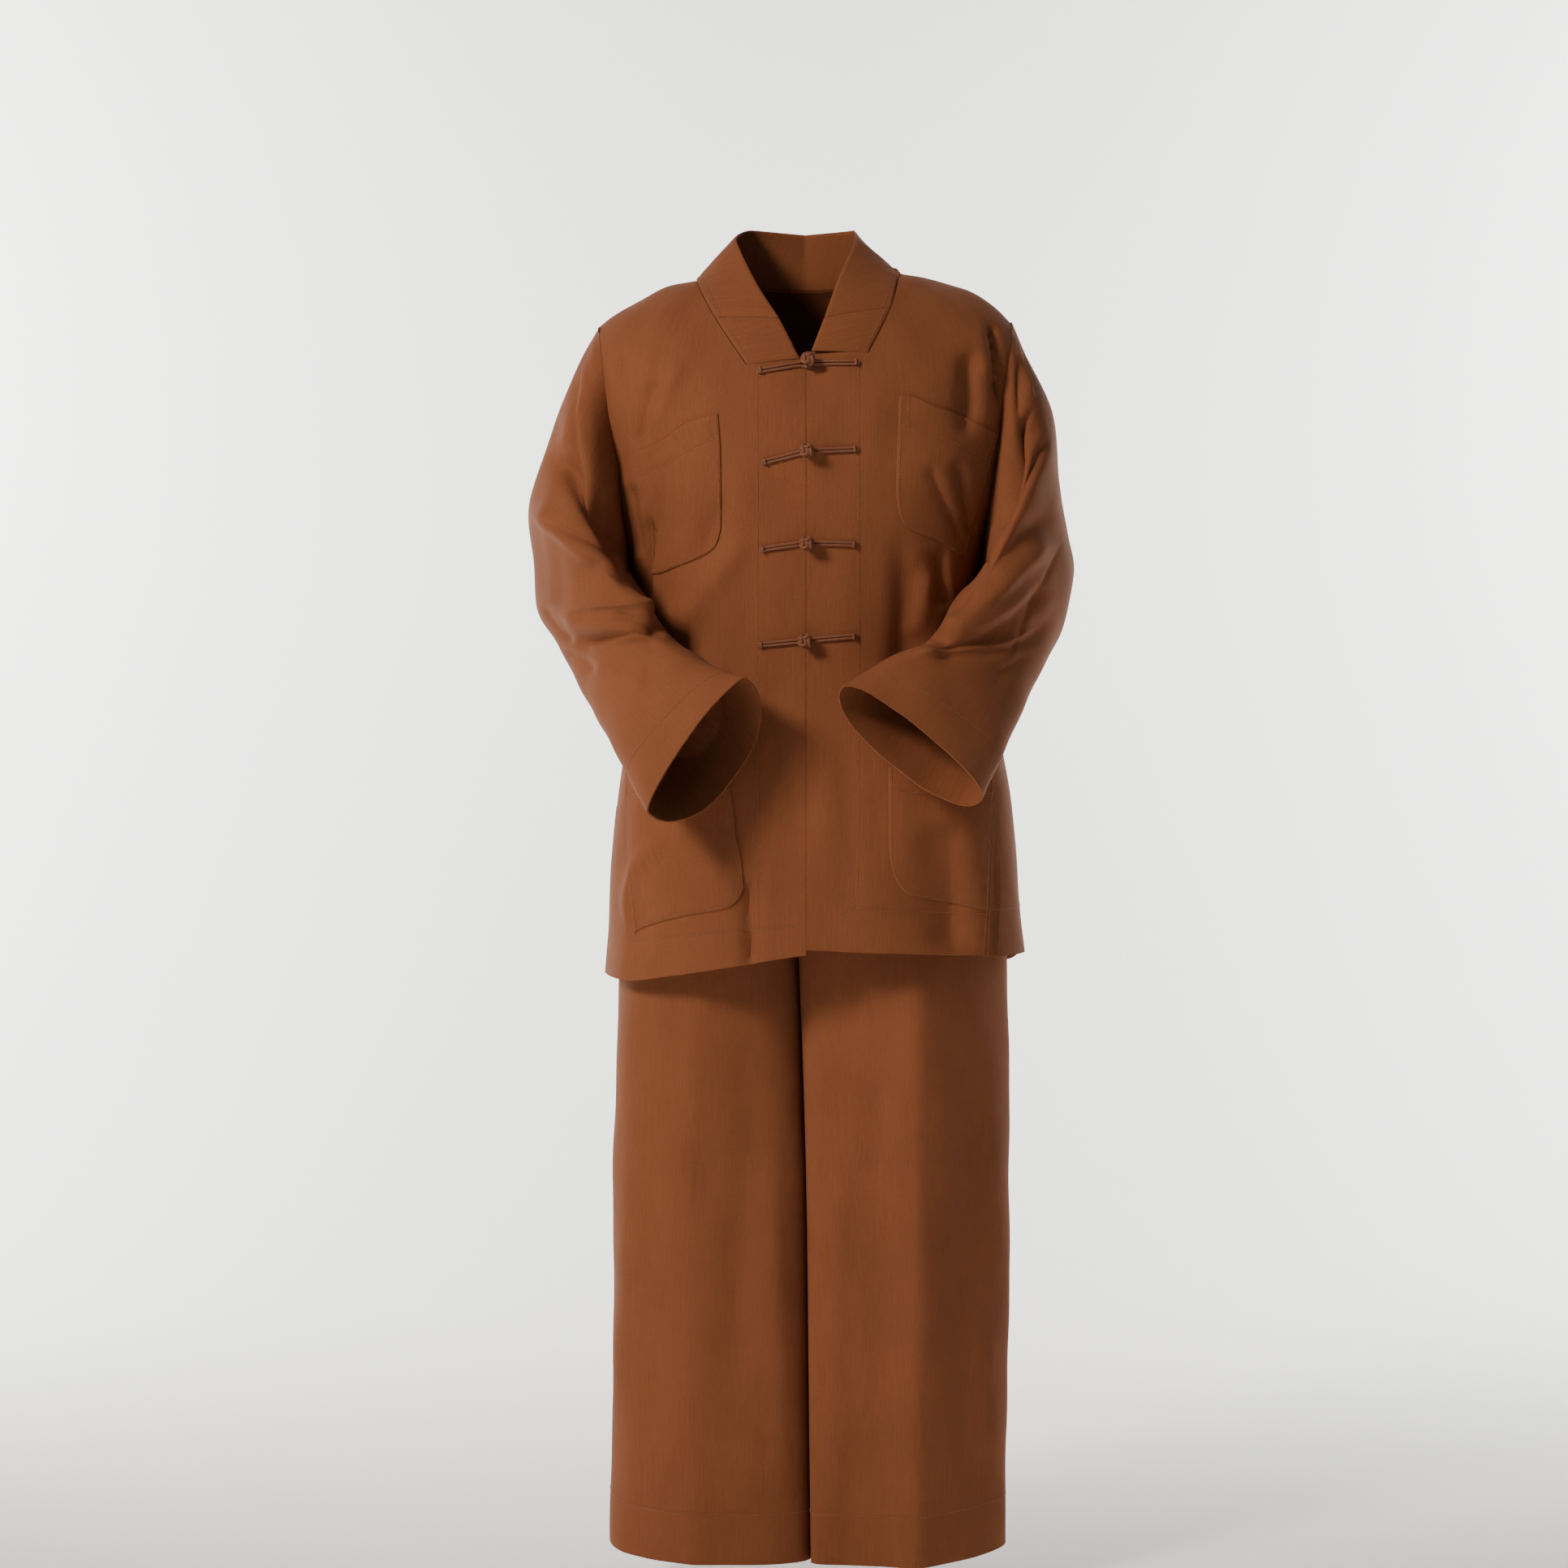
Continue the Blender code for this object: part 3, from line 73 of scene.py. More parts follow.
# Jacket sections: half widths and depths at a height, about a middle line at y = middle
SQUARENESS = 2.5
BODY_COLUMNS = ("z", "left", "right", "front", "back", "middle")
BODY = (
    (0.040, 0.272, 0.272, 0.132, 0.100, 0.012),
    (-0.060, 0.2615, 0.2615, 0.138, 0.112, 0.010),
    (-0.150, 0.2395, 0.2395, 0.142, 0.120, 0.008),
    (-0.250, 0.2160, 0.2160, 0.144, 0.120, 0.006),
    (-0.335, 0.196, 0.196, 0.142, 0.116, 0.006),
    (-0.420, 0.184, 0.190, 0.140, 0.114, 0.006),
    (-0.500, 0.199, 0.215, 0.142, 0.120, 0.005),
    (-0.610, 0.215, 0.236, 0.149, 0.136, 0.004),
    (-0.700, 0.221, 0.244, 0.154, 0.142, 0.003),
    (-0.820, 0.229, 0.254, 0.160, 0.148, 0.003),
)

# Shoulder line: its height on each side by distance from the middle, and the drop to full depth
RIDGE_COLUMNS = ("x", "left", "right", "reach")
RIDGE = (
    (0.000, 0.0100, 0.0100, 0.200),
    (0.060, 0.0040, 0.0060, 0.185),
    (0.124, -0.0072, -0.0020, 0.165),
    (0.156, -0.0148, -0.0092, 0.150),
    (0.184, -0.0275, -0.0180, 0.138),
    (0.213, -0.0450, -0.0355, 0.125),
    (0.232, -0.0605, -0.0535, 0.115),
    (0.270, -0.1030, -0.1000, 0.100),
)
FRONT_ROUNDING = 2.0
BACK_ROUNDING = 2.6

# Edges of the fronts and the back on each side, as distance from the middle and height
FOOT_INNER = {"left": (0.0000, -0.1015), "right": (0.0000, -0.0935)}
NECKLINE = {
    "left": ((0.0655, -0.1085), (0.0910, -0.0695), (0.1094, -0.0386), (0.1240, -0.0072)),
    "right": ((0.0690, -0.0945), (0.0850, -0.0640), (0.0965, -0.0370), (0.1060, 0.0007)),
}
BACK_NECKLINE = ((0.0900, -0.0110), (0.0500, -0.0130), (0.0000, -0.0140))
SHOULDER_TIP = 0.232
UNDERARM = (0.196, -0.335)
HEM_TURNS = (0.0, 13.4, 32.0, 56.0, 90.0)
FOOT_STEPS = 14
NECK_STEPS = 30
SHOULDER_STEPS = 24
ARMHOLE_STEPS = 96
BACK_ARMHOLE_STEPS = 44
BODY_ROWS = 170
ROW_SPREAD = 1.4
FINE_STEPS = 400

# Jacket hem heights, and the side seams' turn from the centre front, by height
HEM_COLUMNS = ("turn", "left", "right")
HEM = (
    (0.0, -0.756, -0.750),
    (12.0, -0.766, -0.7535),
    (35.0, -0.780, -0.757),
    (60.0, -0.790, -0.763),
    (90.0, -0.789, -0.765),
    (115.0, -0.796, -0.784),
    (180.0, -0.792, -0.792),
)
SIDE_SEAM_COLUMNS = ("z", "left", "right")
SIDE_SEAM = (
    (-0.820, 90.0, 49.0),
    (-0.700, 90.0, 55.5),
    (-0.560, 90.0, 63.0),
    (-0.450, 90.0, 80.0),
    (-0.380, 90.0, 89.5),
    (-0.335, 90.0, 90.0),
)
VENT_TOP = -0.612
VENT_TURN = {"left": 1.0, "right": 0.12}
VENT_TURN_RUN = 0.05
VENT_FLARE = -0.0015
VENT_FLARE_RUN = 0.08
VENT_COLUMNS = 4
VENT_STITCH_RISE = 0.01

# Collar: neck edge of the band at each step from its front end to the centre back
COLLAR_COLUMNS = ("step", "x", "y", "z")
COLLAR = {
    "left": (
        (0.0, 0.0065, -0.1190, -0.1010),
        (2.0, 0.0300, -0.0960, -0.0550),
        (3.6, 0.0565, -0.0560, -0.0106),
        (5.0, 0.0790, 0.0000, 0.0400),
        (7.0, 0.0600, 0.0560, 0.0540),
        (10.0, 0.0000, 0.0760, 0.0500),
    ),
    "right": (
        (0.0, 0.0060, -0.1190, -0.0930),
        (2.0, 0.0205, -0.1000, -0.0545),
        (3.6, 0.0370, -0.0650, -0.0080),
        (5.0, 0.0570, -0.0060, 0.0400),
        (7.0, 0.0560, 0.0520, 0.0540),
        (10.0, 0.0000, 0.0760, 0.0500),
    ),
}
COLLAR_END_STEPS = 12
COLLAR_ROWS = 16
COLLAR_TABLE_STEPS = 5
COLLAR_SETTLES = 0.25
COLLAR_BULGE = 0.0015
COLLAR_RISE = 0.0004

# Sleeves: the outer and the inner line of the arm, and the depth before and behind them
SLEEVE_COLUMNS = ("outer_x", "outer_y", "outer_z", "inner_x", "inner_y", "inner_z",
                  "before", "behind")
SLEEVES = {
    "left": (
        (0.257, 0.000, -0.104, 0.197, -0.010, -0.340, 0.088, 0.080),
        (0.287, 0.000, -0.183, 0.190, -0.045, -0.348, 0.098, 0.085),
        (0.313, 0.010, -0.256, 0.181, -0.078, -0.358, 0.098, 0.085),
        (0.308, 0.020, -0.322, 0.172, -0.103, -0.371, 0.090, 0.078),
        (0.304, 0.030, -0.380, 0.162, -0.125, -0.387, 0.078, 0.068),
        (0.273, 0.008, -0.423, 0.147, -0.145, -0.407, 0.066, 0.058),
        (0.240, -0.062, -0.480, 0.120, -0.168, -0.425, 0.050, 0.056),
        (0.205, -0.146, -0.538, 0.092, -0.190, -0.440, 0.032, 0.064),
        (0.170, -0.232, -0.595, 0.064, -0.212, -0.449, 0.018, 0.072),
    ),
    "right": (
        (0.247, 0.000, -0.086, 0.197, -0.010, -0.340, 0.088, 0.080),
        (0.280, 0.000, -0.157, 0.187, -0.045, -0.347, 0.098, 0.085),
        (0.287, 0.008, -0.230, 0.174, -0.078, -0.356, 0.098, 0.085),
        (0.299, 0.020, -0.293, 0.160, -0.103, -0.373, 0.092, 0.078),
        (0.3065, 0.030, -0.340, 0.147, -0.125, -0.397, 0.082, 0.068),
        (0.288, 0.008, -0.403, 0.130, -0.146, -0.415, 0.070, 0.058),
        (0.256, -0.062, -0.456, 0.105, -0.168, -0.423, 0.052, 0.052),
        (0.224, -0.146, -0.514, 0.072, -0.190, -0.437, 0.036, 0.048),
        (0.188, -0.232, -0.580, 0.038, -0.212, -0.459, 0.026, 0.046),
    ),
}
SLEEVE_ROWS = 220
SLEEVE_ROUND = 0.92
ELBOW_ROW = 3
SLEEVE_SETTLES = (0.3, 0.9)
CLEAR_OF_BODY = 0.007
CLEAR_BESIDE = 0.6
THIN_DEPTH = 0.0001
MOST_GROWTH = 0.3

# Largest folds, seen from the front or back: a soft ridge (height over 0) or trough along an arc
# from start to end, its width to the left and right of someone who walks along it, and its fades
FOLD_COLUMNS = ("piece", "face", "x0", "z0", "x1", "z1", "bow", "left", "right", "height", "fade")
FOLDS = (
    ("sleeve_left", -1, -0.289, -0.195, -0.182, -0.352, 0.010, 0.016, 0.014, -0.013, 0.18),
    ("sleeve_left", -1, -0.312, -0.262, -0.160, -0.392, 0.006, 0.018, 0.009, 0.010, 0.15),
    ("sleeve_left", -1, -0.250, -0.320, -0.185, -0.365, 0.004, 0.010, 0.012, -0.005, 0.30),
    ("sleeve_left", -1, -0.285, -0.375, -0.160, -0.398, -0.010, 0.014, 0.012, 0.007, 0.25),
    ("sleeve_left", -1, -0.262, -0.420, -0.150, -0.412, 0.004, 0.010, 0.012, -0.007, 0.20),
    ("sleeve_left", -1, -0.262, -0.130, -0.262, -0.215, 0.000, 0.014, 0.014, 0.006, 0.35),
    ("sleeve_right", -1, 0.280, -0.150, 0.150, -0.395, -0.020, 0.016, 0.020, -0.012, 0.18),
    ("sleeve_right", -1, 0.262, -0.140, 0.205, -0.300, -0.008, 0.014, 0.014, -0.008, 0.30),
    ("sleeve_right", -1, 0.262, -0.352, 0.140, -0.405, 0.010, 0.012, 0.016, 0.009, 0.22),
    ("sleeve_right", -1, 0.285, -0.385, 0.125, -0.420, 0.014, 0.012, 0.012, -0.007, 0.20),
    ("sleeve_left", 1, -0.285, -0.240, -0.200, -0.360, 0.010, 0.016, 0.016, -0.009, 0.25),
    ("sleeve_left", 1, -0.300, -0.330, -0.190, -0.400, 0.008, 0.016, 0.014, 0.008, 0.25),
    ("sleeve_right", 1, 0.275, -0.220, 0.200, -0.365, -0.010, 0.016, 0.016, -0.009, 0.25),
    ("sleeve_right", 1, 0.298, -0.320, 0.190, -0.405, -0.008, 0.014, 0.016, 0.008, 0.25),
    ("body", -1, -0.185, -0.150, -0.160, -0.330, 0.012, 0.018, 0.020, -0.007, 0.30),
    ("body", -1, 0.185, -0.085, 0.178, -0.180, 0.006, 0.014, 0.016, -0.006, 0.35),
    ("body", -1, 0.112, -0.300, 0.118, -0.480, 0.004, 0.016, 0.020, -0.008, 0.30),
    ("body", -1, -0.070, -0.300, -0.150, -0.420, -0.010, 0.022, 0.022, 0.004, 0.35),
    ("body", -1, -0.062, -0.660, -0.060, -0.800, 0.004, 0.012, 0.014, -0.004, 0.20),
    ("body", -1, 0.150, -0.560, 0.160, -0.740, 0.006, 0.022, 0.022, 0.004, 0.30),
    ("body", 1, -0.120, -0.120, -0.060, -0.420, 0.016, 0.022, 0.022, -0.006, 0.30),
    ("body", 1, 0.130, -0.140, 0.070, -0.400, -0.014, 0.022, 0.022, -0.006, 0.30),
    ("body", 1, 0.020, -0.380, 0.035, -0.760, 0.010, 0.024, 0.024, 0.005, 0.30),
)

FOLD_FACING = 0.4

# Where the body and the sleeve fill out under the arm: piece, centre, radius, height
UNDERARM_FILLS = (
    ("body", (-0.1960, -0.012, -0.345), 0.013, 0.0038),
    ("sleeve_left", (-0.1950, -0.050, -0.344), 0.011, 0.0022),
)

# Smaller folds of the same kind, on the sides that the photo doesn't show and on the trousers
FINE_FOLDS = (
    ("body", 1, -0.186, -0.330, -0.085, -0.235, 0.008, 0.011, 0.013, -0.0050, 0.30),
    ("body", 1, 0.186, -0.335, 0.095, -0.225, -0.008, 0.013, 0.011, -0.0045, 0.30),
    ("body", 1, -0.150, -0.400, -0.172, -0.740, 0.008, 0.016, 0.018, 0.0045, 0.30),
    ("body", 1, 0.128, -0.430, 0.165, -0.745, -0.006, 0.018, 0.016, -0.0045, 0.30),
    ("body", 1, -0.048, -0.450, -0.086, -0.770, 0.010, 0.015, 0.020, -0.0040, 0.25),
    ("body", 1, 0.060, -0.520, 0.098, -0.780, 0.004, 0.020, 0.016, 0.0035, 0.30),
    ("body", 1, -0.110, -0.085, -0.130, -0.200, 0.004, 0.016, 0.014, 0.0025, 0.35),
    ("body", 1, 0.105, -0.080, 0.120, -0.185, -0.004, 0.014, 0.016, 0.0025, 0.35),
    ("sleeve_left", 1, -0.240, -0.130, -0.262, -0.270, 0.006, 0.010, 0.012, 0.0050, 0.35),
    ("sleeve_left", 1, -0.292, -0.345, -0.170, -0.392, 0.006, 0.008, 0.011, -0.0055, 0.25),
    ("sleeve_left", 1, -0.270, -0.420, -0.140, -0.425, -0.008, 0.010, 0.010, 0.0045, 0.25),
    ("sleeve_right", 1, 0.238, -0.120, 0.258, -0.265, -0.006, 0.012, 0.010, 0.0050, 0.35),
    ("sleeve_right", 1, 0.288, -0.335, 0.165, -0.395, -0.008, 0.011, 0.008, -0.0055, 0.25),
    ("sleeve_right", 1, 0.262, -0.410, 0.125, -0.430, 0.008, 0.010, 0.010, 0.0045, 0.25),
    ("leg_left", -1, -0.070, -0.800, -0.085, -1.430, 0.006, 0.020, 0.024, -0.0040, 0.20),
    ("leg_left", -1, -0.175, -0.820, -0.168, -1.380, -0.006, 0.018, 0.022, -0.0035, 0.25),
    ("leg_left", -1, -0.040, -0.900, -0.028, -1.440, 0.004, 0.014, 0.014, 0.0030, 0.25),
    ("leg_right", -1, 0.074, -0.800, 0.086, -1.430, 0.004, 0.022, 0.020, -0.0040, 0.20),
    ("leg_right", -1, 0.182, -0.830, 0.176, -1.400, 0.006, 0.022, 0.018, -0.0045, 0.22),
    ("leg_right", -1, 0.040, -0.950, 0.034, -1.440, -0.004, 0.014, 0.014, 0.0030, 0.25),
    ("leg_left", 1, -0.080, -0.560, -0.095, -1.420, 0.008, 0.022, 0.024, -0.0050, 0.18),
    ("leg_left", 1, -0.160, -0.700, -0.150, -1.440, -0.006, 0.020, 0.024, 0.0045, 0.22),
    ("leg_left", 1, -0.020, -0.720, -0.120, -0.860, 0.010, 0.014, 0.016, -0.0040, 0.30),
    ("leg_right", 1, 0.085, -0.560, 0.098, -1.420, -0.008, 0.024, 0.022, -0.0050, 0.18),
    ("leg_right", 1, 0.168, -0.700, 0.158, -1.440, 0.006, 0.024, 0.020, 0.0045, 0.22),
    ("leg_right", 1, 0.020, -0.720, 0.125, -0.860, -0.010, 0.016, 0.014, -0.0040, 0.30),
)

# Creases on what the front shows, seen from the camera, by piece. Each row has the crease's widths to
# the left and right of its direction, its height, its sharpness, and its line as points (x, z) on the
# upright plane through the origin. Lengths are in tenths of a millimetre
TENTHS = 10000
CREASES = {
    "sleeve_left": (
        (32, 120, -130, 1.2, (-2337, -614), (-2351, -751), (-2361, -860), (-2334, -1015), (-2269, -1243)),
        (28, 120, -50, 1.3, (-2531, -1015), (-2591, -1252), (-2601, -1499), (-2592, -1718),
         (-2575, -2029), (-2526, -2395)),
        (74, 92, -15, 1.8, (-2779, -1207), (-2826, -1572), (-2772, -1937)),
        (37, 110, -35, 1.5, (-2274, -878), (-2265, -1207), (-2235, -1544), (-2194, -2019), (-2172, -2230),
         (-2125, -2504), (-2079, -2788), (-2032, -3137)),
        (184, 32, -80, 1.3, (-2809, -1992), (-2727, -2285), (-2600, -2504), (-2463, -2706),
         (-2289, -2907), (-2096, -3128), (-1968, -3311)),
        (64, 60, -60, 1.4, (-3050, -2669), (-2977, -2761), (-2794, -2843), (-2482, -2990), (-2133, -3210),
         (-1922, -3384), (-1766, -3568), (-1675, -3880)),
        (46, 92, -45, 1.6, (-2482, -3183), (-2271, -3329), (-2060, -3458), (-1858, -3651),
         (-1767, -3770)),
        (74, 37, 50, 1.5, (-2686, -3752), (-2484, -3752), (-2273, -3733), (-2043, -3733), (-1794, -3779),
         (-1657, -3890)),
        (28, 83, -40, 1.5, (-2208, -3816), (-1997, -3853), (-1795, -3926), (-1565, -4055)),
        (101, 28, -60, 1.4, (-2605, -4184), (-2347, -4138), (-2053, -4069), (-1896, -4037),
         (-1731, -4046), (-1528, -4092)),
        (28, 110, 40, 1.5, (-2605, -4221), (-2347, -4175), (-2053, -4106), (-1896, -4073), (-1731, -4083),
         (-1528, -4129)),
        (83, 37, -45, 1.5, (-2999, -3724), (-2908, -3880), (-2761, -4073), (-2614, -4193)),
        (55, 92, -40, 1.8, (-2716, -4248), (-2578, -4340), (-2385, -4487)),
        (129, 129, 30, 2.0, (-2413, -4432), (-2091, -4506), (-1768, -4579)),
    ),
    "sleeve_right": (
        (101, 83, -80, 1.8, (2287, -569), (2362, -842), (2399, -1070), (2382, -1389), (2328, -1663)),
        (28, 92, 50, 1.4, (2278, -496), (2379, -669), (2472, -960), (2546, -1261), (2584, -1444)),
        (92, 28, -50, 1.3, (2305, -496), (2407, -669), (2499, -960), (2574, -1261), (2611, -1426)),
        (28, 110, -70, 1.3, (2611, -1426), (2566, -1608), (2503, -1791), (2421, -2038), (2321, -2276),
         (2221, -2514), (2129, -2715), (2047, -2917)),
        (28, 120, -80, 1.3, (2768, -1764), (2769, -1864), (2714, -2029), (2605, -2248), (2477, -2413),
         (2349, -2587), (2231, -2761), (2112, -2944)),
        (28, 28, -20, 1.3, (2930, -2962), (2738, -3375), (2538, -3834), (2310, -4432)),
        (120, 120, -60, 1.9, (2846, -2688), (2681, -2761), (2516, -2898), (2360, -3091), (2122, -3339),
         (1967, -3550)),
        (110, 120, 70, 1.9, (2847, -2981), (2682, -3091), (2517, -3228), (2297, -3449), (2041, -3687),
         (1802, -3899), (1472, -4129)),
        (120, 92, -90, 1.7, (2794, -3513), (2647, -3614), (2519, -3715), (2281, -3917), (2042, -4073),
         (1729, -4165), (1407, -4239)),
        (46, 83, 60, 1.5, (2759, -3917), (2630, -4000), (2520, -4055), (2281, -4156), (2042, -4211),
         (1729, -4234), (1453, -4257), (1104, -4294)),
        (64, 64, 25, 1.8, (2233, -605), (2298, -933), (2281, -1389), (2246, -1937), (2202, -2395)),
        (83, 83, -30, 1.9, (2558, -4257), (2374, -4414), (2117, -4524)),
    ),
    "body": (
        (110, 101, -40, 1.8, (-2072, -705), (-2027, -1252), (-2056, -1663), (-2084, -2029),
         (-2040, -2486)),
        (83, 101, -50, 1.7, (-1651, -1134), (-1780, -1444), (-1854, -1754), (-1919, -1992)),
        (92, 92, 30, 1.9, (-1394, -933), (-1624, -1480), (-1744, -1800)),
        (83, 83, -60, 1.6, (-2012, -2321), (-1966, -2578), (-1939, -2898), (-1894, -3219)),
        (55, 46, 30, 1.6, (-1865, -2504), (-1829, -2852), (-1802, -3219)),
        (28, 83, -70, 1.4, (-1783, -2697), (-1747, -2907), (-1747, -3137), (-1775, -3421),
         (-1757, -3724)),
        (101, 129, -30, 2.0, (-1525, -2029), (-1599, -2578), (-1711, -3311)),
        (92, 110, -60, 1.7, (1862, -796), (1850, -1261), (1828, -1608), (1778, -1891)),
        (83, 83, 30, 1.9, (1986, -842), (2006, -1298), (1989, -1754)),
        (28, 51, -100, 1.3, (2086, -496), (2123, -660), (2169, -906), (2202, -1143), (2217, -1480)),
        (83, 83, 25, 1.9, (1948, -523), (2013, -842), (2070, -1207)),
        (37, 110, -40, 1.5, (1384, -2083), (1560, -2486), (1689, -2761), (1800, -3091)),
        (37, 101, -60, 1.5, (1687, -2047), (1789, -2340), (1854, -2633), (1892, -2999)),
        (129, 166, -35, 1.9, (1101, -2761), (1093, -3311), (1103, -3862), (1049, -4782)),
        (110, 110, 40, 2.0, (1414, -3311), (1342, -3724), (1232, -4138)),
        (37, 129, -60, 1.5, (1542, -3036), (1580, -3403), (1618, -3770)),
        (147, 166, 30, 2.0, (-571, -2852), (-1031, -3449), (-1473, -4046)),
        (166, 147, -25, 2.0, (-846, -2395), (-1141, -3128), (-1307, -3862)),
        (28, 83, -50, 1.3, (-619, -6768), (-628, -7278), (-610, -7928)),
        (83, 74, 40, 1.7, (-1514, -6333), (-1773, -6537), (-1976, -6833), (-2032, -7074), (-1959, -7464)),
        (175, 350, -120, 2.0, (1605, -6074), (1663, -6815), (1711, -7835)),
        (129, 166, -20, 2.0, (442, -5151), (498, -6259), (537, -7557)),
        (166, 184, 25, 2.0, (-1124, -4966), (-1310, -5705), (-1422, -6629)),
    ),
}
CREASE_STEPS = 28
CREASE_FADE = 0.2
CREASE_FACING = 0.35

# Slight waves: wavelengths over x, y and z, phase and height
RIPPLES = (
    (0.083, 0.110, 0.310, 0.13, 0.00050),
    (-0.061, 0.093, 0.270, 0.57, 0.00035),
    (0.127, -0.150, 0.190, 0.31, 0.00045),
    (0.210, 0.300, -0.105, 0.82, 0.00035),
    (0.047, -0.070, -0.420, 0.44, 0.00020),
)

# Trousers: hips down to the crotch, then one section a leg
HIP_COLUMNS = ("z", "left", "right", "front", "back")
HIP = (
    (-0.440, 0.158, 0.162, 0.112, 0.098),
    (-0.520, 0.176, 0.186, 0.118, 0.108),
    (-0.620, 0.196, 0.212, 0.122, 0.1395),
    (-0.720, 0.206, 0.222, 0.122, 0.124),
    (-0.820, 0.212, 0.230, 0.116, 0.116),
)
LEG_COLUMNS = ("z", "left_inner", "left_outer", "right_inner", "right_outer", "front", "back")
LEG = (
    (-0.700, -0.0085, -0.206, -0.0085, 0.224, 0.112, 0.112),
    (-0.750, -0.0078, -0.2093, -0.0082, 0.2278, 0.1068, 0.108),
    (-0.800, -0.0056, -0.2120, -0.0066, 0.2307, 0.1026, 0.105),
    (-0.880, -0.0022, -0.2150, -0.0032, 0.2325, 0.098, 0.102),
    (-1.060, 0.0025, -0.2190, 0.0015, 0.2345, 0.090, 0.096),
    (-1.308, 0.0053, -0.2205, 0.0043, 0.2318, 0.081, 0.089),
    (-1.454, 0.0072, -0.2256, 0.0062, 0.2308, 0.076, 0.084),
)
LEG_MIDDLE = 0.004
INSEAM_Y = {"left": -0.028, "right": -0.058}
LEG_SQUARENESS = 2.3
FRONT_OUTER_SQUARENESS = {"left": 2.3, "right": 1.55}
CROTCH = (-0.590, -0.725)
TROUSER_HEM_FRONT = (-1.456, -1.458)
TROUSER_HEM_INNER = (-1.4590, -1.4565)
TROUSER_HEM_OUTER = (-1.443, -1.450)
LEG_COLUMNS_COUNT = 64
LEG_ROWS = 150
LEG_CREASE = {"left": (-0.128, 0.0035, 0.026), "right": (0.128, 0.0110, 0.034)}
LEG_CREASE_SHARP = 1.3
LEG_CREASE_TOP = -0.74
LEG_CREASE_RUN = 0.08
LEG_CREASE_TURN = 0.5
WAISTBAND = (-0.437, -0.402)
WAISTBAND_COLUMNS = 96
WAISTBAND_ROWS = 12

# Frogs: the place of each knot and of the outer ends of its two strips, as x and z
FROG_COLUMNS = ("knot_x", "knot_z", "left_x", "left_z", "right_x", "right_z")
FROGS = (
    (0.0016, -0.1070, -0.0525, -0.1160, 0.0575, -0.1065),
    (0.0016, -0.2035, -0.0475, -0.2158, 0.0565, -0.2012),
    (0.0008, -0.3035, -0.0498, -0.3108, 0.0550, -0.3050),
    (-0.0008, -0.4105, -0.0516, -0.4156, 0.0550, -0.4055),
)
CORD_RADIUS = 0.00155
CORD_GAP = 0.0003
STRIP_STEPS = 16
# Each strip's straight run starts this many pitches in from its outer end
STRIP_START = 1.6
STRIP_STOP = 0.003
STRIP_END_TURNS = (-60, -20, 20, 60)
LOOP_RADIUS = 0.0052
LOOP_STEPS = 28
LOOP_MOUTH = 0.22 * math.pi
LOOP_START = 0.004
LOOP_RISE_RUN = 0.0073
KNOT_LIFT = 0.0122

